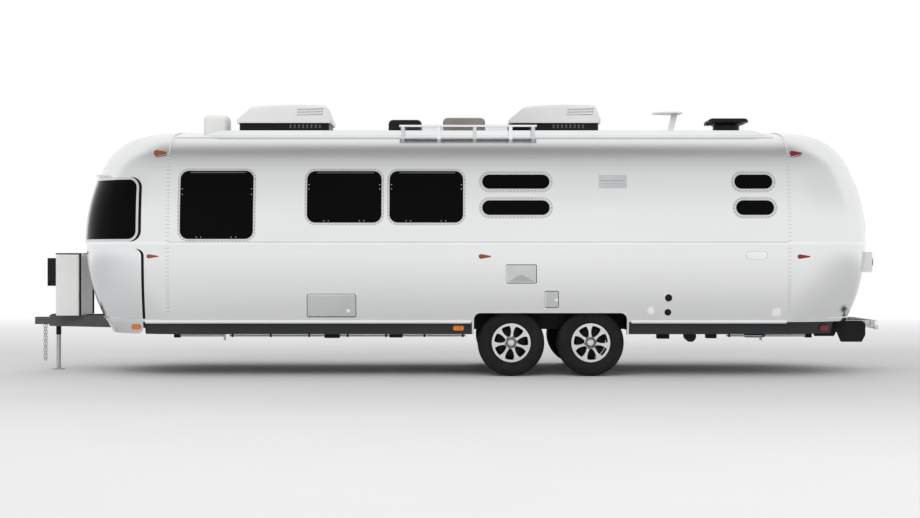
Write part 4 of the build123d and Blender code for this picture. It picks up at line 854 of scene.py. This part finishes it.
glass_tree = tree_of("window_glass")
bar_rows, latch_spots = [], []
for side, x0, x1, z0, z1, radius in WINDOWS:
    wide, tall = x1 - x0, z1 - z0
    if tall < OVAL_HEIGHT:
        continue
    stations = [x0 + 0.11 + (wide - 0.20) * number / BAR_STEPS for number in range(BAR_STEPS + 1)]
    row = [on_side(x, z1 - BAR_DROP, side, glass_tree) for x in stations]
    bar_rows.append([found for found in row if found])
    for share in (0.23, 0.29, 0.70, 0.76):
        latch_spots.append(on_side(x0 + wide * share, z0 + LATCH_EDGE, side, glass_tree))
    for share in (0.27, 0.35):
        for x in (x0 + LATCH_EDGE, x1 - LATCH_EDGE):
            latch_spots.append(on_side(x, z1 - tall * share, side, glass_tree))
ribbon("window_bars", bar_rows, 0.016, 0.0012, "glass_bar")
domes("window_latches", latch_spots, 0.0060, 0.003, "plate")


# Blank oval plate, locks and the door's handle

LATCH_X, LATCH_Z = -1.046, 0.706
SERVICE_LOCK = (1.166, 0.820)
HANDLE_X, HANDLE_Z, HANDLE_LOCK_Z = -0.045, 1.17, 1.105

inner_oval = outline_points(*OVAL_PLATE, -0.006, 0.02)
oval_x, oval_z = sum(OVAL_PLATE[:2]) / 2, sum(OVAL_PLATE[2:4]) / 2
outer_oval = [(x + (x - oval_x) * 0.05, z + (z - oval_z) * 0.13) for x, z in inner_oval]
joined("oval_plate", [skin_plate(inner_oval, -1, 0.0, 0.0022)], "trim", sharp=50)
joined("oval_rim", [ring_plate(outer_oval, inner_oval, -1, 0.0, 0.0045)], "plate", sharp=50)


def lock_parts(x, y, z, side):
    """Round lock face with a raised keyway bar."""
    out = aside(side * 0.004)
    spot = Vector((x, y, z))
    return [prism(circle(0.017, 16), spot, out), prism(oblong(-0.003, 0.003, -0.012, 0.012), spot + out, out)]


for side, name in ((-1, "left"), (1, "right")):
    parts = lock_parts(LATCH_X, on_side(LATCH_X, LATCH_Z, side)[0].y, LATCH_Z, side)
    joined(f"storage_lock_{name}", parts, "chrome", body=f"storage_door_{name}", bevel=0.001)

handle_spot = on_side(HANDLE_X, HANDLE_Z, 1)[0]
grip = upright(((-0.012, -0.055), (0.012, -0.055), (0.014, 0.055), (-0.014, 0.055)))
handle_parts = [prism(grip, handle_spot + Vector((0, -0.002, 0.01)), aside(0.016))]
handle_parts += lock_parts(HANDLE_X, handle_spot.y, HANDLE_LOCK_Z, 1)
joined("door_handle", handle_parts, "chrome", body="entry_door", bevel=0.003)

service_y = on_side(*SERVICE_LOCK, -1)[0].y
service_parts = lock_parts(SERVICE_LOCK[0], service_y, SERVICE_LOCK[1], -1)
joined("service_lock", service_parts, "chrome", body="service_door", bevel=0.001)


# Inlets on the street side

POWER_INLET = (2.360, 0.842)
WATER_INLET = (2.355, 0.688)
WATER_CAP = (2.1745, 0.698)
SQUARE_PORT = (3.513, 0.688)
# Profiles of (radius, rise), from rim to axis
POWER_RING = [(0.053, -0.002), (0.053, 0.004), (0.048, 0.0085), (0.042, 0.0085), (0.038, 0.004), (0, 0.004)]
POWER_LID = [(0.038, 0.003), (0.038, 0.010), (0.033, 0.014), (0.020, 0.015), (0, 0.016)]
WATER_RING = [(0.036, -0.002), (0.036, 0.005), (0.030, 0.009), (0.026, 0.009), (0.024, 0.004), (0, 0.004)]
WATER_PLUG = [(0.021, 0.003), (0.020, 0.014), (0.012, 0.017), (0, 0.018)]
CAP_DOME = [(0.042, -0.002), (0.042, 0.005), (0.037, 0.010), (0.030, 0.012), (0, 0.014)]


def turned(profile, centre, steps=28):
    """Round fitting on the street side, from a profile that starts at its rim and ends at its axis."""
    vertices = []
    for radius, rise in profile[:-1]:
        vertices.extend(centre + aside(-rise) + point for point in circle(radius, steps))
    vertices.append(centre + aside(-profile[-1][1]))
    rings = len(profile) - 1
    last = (rings - 1) * steps
    fan = [(last + number, last + (number + 1) % steps, rings * steps) for number in range(steps)]
    return vertices, lattice(rings, steps) + fan


def plate_part(centre, half_wide, half_tall, low, high, corner=0.006):
    """Square plate with rounded corners on the street side, between two rises."""
    outline = upright(outline_points(-half_wide, half_wide, -half_tall, half_tall, corner, 0, 0.008))
    return prism(outline, centre + aside(-low), aside(low - high))


power_spot, water_spot, cap_spot, port_spot = (
    on_side(x, z, -1, bare_hull)[0] for x, z in (POWER_INLET, WATER_INLET, WATER_CAP, SQUARE_PORT)
)
pale_parts = [
    turned(POWER_RING, power_spot),
    turned(CAP_DOME, cap_spot),
    plate_part(cap_spot + Vector((0.012, 0, 0.045)), 0.012, 0.014, -0.002, 0.008),
    plate_part(port_spot, 0.044, 0.046, -0.002, 0.005),
    plate_part(port_spot + Vector((0.006, 0, 0)), 0.030, 0.034, 0.005, 0.010, 0.004),
]
made = joined("inlet_fittings", pale_parts, "white_plastic", bevel=0.001)
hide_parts("inlets")
dark_parts = [
    turned(POWER_LID, power_spot),
    plate_part(power_spot, 0.006, 0.030, 0.014, 0.020, 0.003),
    turned(WATER_RING, water_spot),
    turned(WATER_PLUG, water_spot),
]
joined("inlet_caps", dark_parts, "black_plastic", bevel=0.0008)


# Visor over the front windows

VISOR_STEPS = 32
VISOR_CENTRE = Vector((-2.6, 0, 2.138))
VISOR_OUT = 0.050
VISOR_UP = 0.060
visor_vertices = []
for number in range(VISOR_STEPS + 1):
    away = heading(-1, radians(-46 + 92 * number / VISOR_STEPS))
    spot = from_outside(VISOR_CENTRE, away)[0]
    fade = sin(pi * number / VISOR_STEPS) ** 0.35
    tip_out, tip_up = VISOR_OUT * fade, VISOR_UP * fade
    tip = ((tip_out, tip_up - 0.008), (tip_out - 0.004, tip_up))
    profile = ((-0.002, -0.010), (0.004, -0.010), *tip, (-0.002, 0.006))
    visor_vertices.extend(spot + away * out + Vector((0, 0, up)) for out, up in profile)
piece("front_visor", visor_vertices, lattice(VISOR_STEPS + 1, 5), "trim", sharp=40)


# Thin seals above and below the belt moulding, and drip edges under the rub rails

trim_tree = tree_of("mouldings")
BELT_SEALS = (1.4355, 1.4075)
BELT_START, BELT_LONG, BELT_STEPS = -2.965, 6.605, 120
BELT_Y = 1.2  # the belt lies outside this, so a ray that meets less went past it
DRIP_Z = 0.598
DRIP_START, DRIP_LONG, DRIP_STEPS = -3.22, 6.84, 240
ARCH_TRIM = (0.262, 1.945)
# Section of a drip edge: distance out of the moulding's face, height
DRIP_SECTION = (
    (-0.001, 0.614), (0.004, 0.610), (0.0065, 0.598), (0.0065, 0.582), (0.004, 0.570), (-0.004, 0.566),
    (-0.004, 0.590),
)


def unbroken_runs(row):
    """The runs of a row between its gaps."""
    runs, current = [], []
    for spot in row + [None]:
        if spot is not None:
            current.append(spot)
            continue
        if len(current) > 1:
            runs.append(current)
        current = []
    return runs


belt_rows = []
for side in (-1, 1):
    for z in BELT_SEALS:
        row = []
        for number in range(BELT_STEPS + 1):
            found = on_side(BELT_START + BELT_LONG * number / BELT_STEPS, z, side, trim_tree)
            row.append(found if found and found[0].y * side > BELT_Y else None)
        belt_rows.extend(unbroken_runs(row))
ribbon("belt_seals", belt_rows, 0.0045, 0.0012, "rivet")

drip_left = []
for number in range(DRIP_STEPS + 1):
    x = DRIP_START + DRIP_LONG * number / DRIP_STEPS
    found = on_side(x, DRIP_Z, -1, trim_tree)
    drip_left.append(found[0] if found and not ARCH_TRIM[0] < x < ARCH_TRIM[1] else None)


def drip_edge(name, runs):
    """Rounded lip that stands proud of the moulding and hangs just below it."""
    vertices, faces = [], []
    count = len(DRIP_SECTION)
    for run in runs:
        start = len(vertices)
        for number, spot in enumerate(run):
            before, after = neighbours(run, number)
            away = (after - before).normalized().cross(Vector((0, 0, 1)))
            if away.dot(Vector((spot.x * 0.02, spot.y, 0))) < 0:
                away.negate()
            vertices.extend(Vector((spot.x, spot.y, z)) + away * out for out, z in DRIP_SECTION)
        end = len(vertices) - count
        faces.extend(lattice(len(run), count, start=start))
        faces.append(tuple(range(start, start + count))[::-1])
        faces.append(tuple(range(end, end + count)))
    piece(name, vertices, faces, "trim", sharp=50)


left_runs = unbroken_runs(drip_left)
right_runs = [[Vector((p.x, -p.y, p.z)) for p in run] for run in left_runs]
drip_edge("drip_edges", left_runs + right_runs)


# Gutters along the roof's edges, with sloped ends, and dark strips under them as painted shadow of the
# gutters

GUTTER_FRONT, GUTTER_REAR, GUTTER_LOW, GUTTER_HIGH = -2.70, 3.55, 2.592, 2.660
GUTTER_SLOPE = 0.22
GUTTER_SHADOW_Z = GUTTER_LOW - 0.008
gutter_parts, gutter_shadow_parts = [], []
for side in (-1, 1):
    gutter_y = on_side(0.3, GUTTER_LOW, side, bare_hull)[0].y - side * 0.009
    web = upright((
        (GUTTER_FRONT, GUTTER_LOW), (GUTTER_REAR, GUTTER_LOW), (GUTTER_REAR - GUTTER_SLOPE, GUTTER_HIGH),
        (GUTTER_FRONT + GUTTER_SLOPE, GUTTER_HIGH),
    ))
    gutter_parts.append(prism(web, aside(gutter_y), aside(side * 0.010)))
    lip = oblong(GUTTER_FRONT, GUTTER_REAR, GUTTER_LOW - 0.004, GUTTER_LOW + 0.008)
    gutter_parts.append(prism(lip, aside(gutter_y), aside(side * 0.016)))
    # Dark strip just under each gutter's lip: painted shadow of the gutter.
    shadow_y = on_side(0.3, GUTTER_SHADOW_Z, side, bare_hull)[0].y - side * 0.004
    strip = oblong(GUTTER_FRONT, GUTTER_REAR, GUTTER_SHADOW_Z - 0.005, GUTTER_SHADOW_Z + 0.003)
    gutter_shadow_parts.append(prism(strip, aside(shadow_y), aside(side * 0.007)))
joined("roof_gutters", gutter_parts, "trim", bevel=0.001)
joined("gutter_shadow_strips", gutter_shadow_parts, "rail_paint_and_gutter_shadow")


# Fins in the coolers' bases, and painted shade for the gas cover's groove

FIN_STARTS = (-1.76, 1.19)
FIN_COUNT, FIN_STEP, FIN_Z = 8, 0.047, 2.745
FIN_OUTLINE = upright(((-0.012, -0.022), (0.010, -0.022), (0.012, 0.022), (-0.010, 0.022)))
base_tree = tree_of("cooler_bases")
fins = []
for side in (-1, 1):
    for start in FIN_STARTS:
        for number in range(FIN_COUNT):
            found = on_side(start + FIN_STEP * number, FIN_Z, side, base_tree)
            if found:
                fins.append(prism(FIN_OUTLINE, found[0] - aside(side * 0.002), aside(side * 0.006)))
joined("cooler_fins", fins, "rail_paint_and_gutter_shadow", bevel=0.001)

gas_low, gas_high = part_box("gas_cover")
# Near-black strips on both faces of the gas cover by its rear edge: painted shade for the cover's groove.
strip = oblong(gas_high.x - 0.030, gas_high.x - 0.008, gas_low.z, gas_high.z)
gas_sides = ((-1, gas_low.y), (1, gas_high.y))
gas_groove_shade = [prism(strip, aside(y - side * 0.001), aside(side * 0.003)) for side, y in gas_sides]
joined("gas_groove_shade", gas_groove_shade, "seal", bevel=0.0008)


# Pipes, valve and hangers under the floor

BELLY_Z = 0.492
PIPE_Y, PIPE_Z, PIPE_R = -0.985, 0.428, 0.011
PIPE_RUNS = [(-2.35, 0.20), (3.02, 3.45)]
CLAMP_STEP, CLAMP_END, CLAMP_HALF = 0.42, 0.03, 0.016
VALVE_X, VALVE_Z = 2.62, 0.425
# Two hangers beside the valve, a bracket ahead of the rear legs and two hangers further ahead,
# each as x0, x1, y0, y1 and its lower z
HANGERS = (
    (2.27, 2.40, -1.02, -0.90, 0.395), (2.80, 2.91, -1.02, -0.90, 0.400), (3.24, 3.42, -0.93, -0.80, 0.405),
    (-1.32, -1.16, -1.06, -0.93, 0.405), (-0.62, -0.48, -1.06, -0.93, 0.410),
)
pipes, hangers = [], []
for start, end in PIPE_RUNS:
    pipes.append(tube(Vector((start, PIPE_Y, PIPE_Z)), Vector((end, PIPE_Y, PIPE_Z)), PIPE_R))
    count = round((end - start) / CLAMP_STEP)
    for number in range(count + 1):
        x = start + CLAMP_END + (end - start - 2 * CLAMP_END) * number / count
        clamp_y = (PIPE_Y - CLAMP_HALF, PIPE_Y + CLAMP_HALF)
        hangers.append(block_part(x - 0.010, x + 0.010, *clamp_y, PIPE_Z - CLAMP_HALF, BELLY_Z))
joined("gas_pipes", pipes, "plate")
for x0, x1, y0, y1, z0 in HANGERS:
    hangers.append(block_part(x0, x1, y0, y1, z0, BELLY_Z))
    hangers.append(block_part(x0 + 0.015, x1 - 0.015, y0 - 0.012, y1 + 0.012, z0 + 0.020, z0 + 0.050))
for inner_y, outer_y, radius in ((-0.86, -1.04, 0.052), (-1.04, -1.075, 0.062)):
    hangers.append(tube(Vector((VALVE_X, inner_y, VALVE_Z)), Vector((VALVE_X, outer_y, VALVE_Z)), radius, 20))
joined("under_hangers", hangers, "chassis", bevel=0.003)


# Softened edges on the hard-edged nodes

SOFT_EDGES = {
    "jack_housing": 0.010, "coupler": 0.006, "tongue_rails": 0.005, "main_rails": 0.004,
    "rear_bumper": 0.003, "cooler_bases": 0.006, "gas_lid": 0.004, "entry_step": 0.003,
    "under_brackets": 0.003, "solar_panel": 0.002,
}
for name, width in SOFT_EDGES.items():
    weld = nodes[name].modifiers.new("weld", "WELD")
    weld.merge_threshold = 0.00005
    soft = nodes[name].modifiers.new("soft_edges", "BEVEL")
    soft.width = width
    soft.segments = 2
    soft.limit_method = "ANGLE"
    soft.angle_limit = radians(40)


# Camera, floor and light

CAMERA_PLACE = (0.14, -18.67, 1.256)
FLOOR_FADE = (4.5, 17.0)  # metres from the middle, where the pale floor starts and ends turning white
FLOOR_CORNERS = [(-60, -40, 0), (60, -40, 0), (60, 80, 0), (-60, 80, 0)]
AMBIENT = 0.78
WALL_BLEND = 0.12
# The studio seen in metal, with bright walls and a dimmer ceiling, as (place, brightness). A place is the
# height of the direction, 0 level and 1 upright.
NEAR_WALL = [
    (0.0, 1.0), (0.24, 0.99), (0.36, 0.84), (0.64, 0.74), (0.80, 0.66), (0.90, 0.56), (0.96, 0.42),
    (1.0, 0.34),
]
FAR_WALL = [(0.0, 1.0), (0.70, 1.0), (0.86, 0.98), (0.93, 0.84), (0.98, 0.56), (1.0, 0.34)]

camera_data = bpy.data.cameras.new("camera")
camera_data.sensor_width = 36.0
camera_data.lens = 64.0
camera_data.clip_end = 200.0
camera = bpy.data.objects.new("camera", camera_data)
camera.location = CAMERA_PLACE
camera.rotation_euler = (pi / 2, 0, 0)
bpy.context.scene.collection.objects.link(camera)
bpy.context.scene.camera = camera


def brightness_ramp(tree, value, stops):
    """Brightness read from a ramp of (place, brightness) stops."""
    ramp = tree.nodes.new("ShaderNodeValToRGB")
    while len(ramp.color_ramp.elements) < len(stops):
        ramp.color_ramp.elements.new(0.5)
    for element, (place, level) in zip(ramp.color_ramp.elements, stops):
        element.position = place
        element.color = (level, level, level, 1)
    tree.links.new(value, ramp.inputs["Fac"])
    return ramp.outputs["Color"]


def background(tree, strength, colour=None):
    """Background shader of a strength, with a linked or plain white colour."""
    made = tree.nodes.new("ShaderNodeBackground")
    made.inputs["Strength"].default_value = strength
    made.inputs["Color"].default_value = (1, 1, 1, 1)
    if colour is not None:
        tree.links.new(colour, made.inputs["Color"])
    return made.outputs["Background"]


def either_ray(tree, rays, names):
    """One where a ray is of any of the kinds."""
    value = rays.outputs[names[0]]
    for name in names[1:]:
        highest = tree.nodes.new("ShaderNodeMath")
        highest.operation = "MAXIMUM"
        tree.links.new(value, highest.inputs[0])
        tree.links.new(rays.outputs[name], highest.inputs[1])
        value = highest.outputs["Value"]
    return value


def mixed(tree, factor, first, second):
    """Mix of two shaders."""
    made = tree.nodes.new("ShaderNodeMixShader")
    tree.links.new(factor, made.inputs["Fac"])
    tree.links.new(first, made.inputs[1])
    tree.links.new(second, made.inputs[2])
    return made.outputs["Shader"]


def floor_material():
    """Pale floor that keeps the shadow near the object and fades to the white of the walls further out."""
    made, tree, shader = shader_of("floor_pale")
    patches = noise(tree, 0.6)
    tree.links.new(tones(tree, patches, (0.64, 0.64, 0.64), (0.66, 0.66, 0.66)), shader.inputs["Base Color"])
    shader.inputs["Roughness"].default_value = 0.85
    shader.inputs["Specular IOR Level"].default_value = 0.1
    place = tree.nodes.new("ShaderNodeTexCoord")
    mapping = tree.nodes.new("ShaderNodeMapping")
    mapping.inputs["Scale"].default_value = (0.6, 1, 1)
    length = tree.nodes.new("ShaderNodeVectorMath")
    length.operation = "LENGTH"
    tree.links.new(place.outputs["Object"], mapping.inputs["Vector"])
    tree.links.new(mapping.outputs["Vector"], length.inputs[0])
    fade = tree.nodes.new("ShaderNodeMapRange")
    fade.inputs["From Min"].default_value, fade.inputs["From Max"].default_value = FLOOR_FADE
    tree.links.new(length.outputs["Value"], fade.inputs["Value"])
    rays = tree.nodes.new("ShaderNodeLightPath")
    shown = either_ray(tree, rays, ("Is Camera Ray", "Is Glossy Ray", "Is Transmission Ray"))
    amount = tree.nodes.new("ShaderNodeMath")
    amount.operation = "MULTIPLY"
    tree.links.new(fade.outputs["Result"], amount.inputs[0])
    tree.links.new(shown, amount.inputs[1])
    white = tree.nodes.new("ShaderNodeEmission")
    white.inputs["Color"].default_value = (1, 1, 1, 1)
    output = next(node for node in tree.nodes if node.type == "OUTPUT_MATERIAL")
    both = mixed(tree, amount.outputs["Value"], shader.outputs["BSDF"], white.outputs["Emission"])
    tree.links.new(both, output.inputs["Surface"])
    return made


floor_mesh = bpy.data.meshes.new("floor_stage")
floor_mesh.from_pydata(FLOOR_CORNERS, [], [(0, 1, 2, 3)])
floor_mesh.materials.append(floor_material())
floor_stage = bpy.data.objects.new("floor_stage", floor_mesh)
bpy.context.scene.collection.objects.link(floor_stage)


def soft_light(name, place, target, size, power):
    """Large soft box aimed at a point."""
    data = bpy.data.lights.new(name, "AREA")
    data.shape = "RECTANGLE"
    data.size, data.size_y = size
    data.energy = power
    made = bpy.data.objects.new(name, data)
    made.location = place
    made.rotation_euler = (Vector(target) - Vector(place)).to_track_quat("-Z", "Y").to_euler()
    made.visible_glossy = False
    bpy.context.scene.collection.objects.link(made)


soft_light("key", (-4.0, -9.0, 8.0), (0.0, 0.0, 1.2), (14.0, 5.0), 480)
soft_light("fill", (7.0, -10.0, 4.0), (1.0, 0.0, 1.2), (8.0, 5.0), 160)
soft_light("back", (0.0, 9.0, 8.0), (0.0, 0.0, 1.5), (14.0, 5.0), 320)

world = bpy.data.worlds.new("world")
bpy.context.scene.world = world
world.use_nodes = True
sky = world.node_tree
sky.nodes.clear()

direction = sky.nodes.new("ShaderNodeTexCoord")
split = sky.nodes.new("ShaderNodeSeparateXYZ")
sky.links.new(direction.outputs["Generated"], split.inputs["Vector"])
beyond = sky.nodes.new("ShaderNodeMapRange")
beyond.inputs["From Min"].default_value = -WALL_BLEND
beyond.inputs["From Max"].default_value = WALL_BLEND
sky.links.new(split.outputs["Y"], beyond.inputs["Value"])
walls = mixed(
    sky, beyond.outputs["Result"],
    background(sky, 1.0, brightness_ramp(sky, split.outputs["Z"], NEAR_WALL)),
    background(sky, 1.0, brightness_ramp(sky, split.outputs["Z"], FAR_WALL)),
)
rays = sky.nodes.new("ShaderNodeLightPath")
lit = mixed(sky, rays.outputs["Is Glossy Ray"], background(sky, AMBIENT), walls)
shown = mixed(sky, either_ray(sky, rays, ("Is Camera Ray", "Is Transmission Ray")), lit, background(sky, 1.0))
world_output = sky.nodes.new("ShaderNodeOutputWorld")
sky.links.new(shown, world_output.inputs["Surface"])

bpy.context.scene.view_settings.view_transform = "Standard"
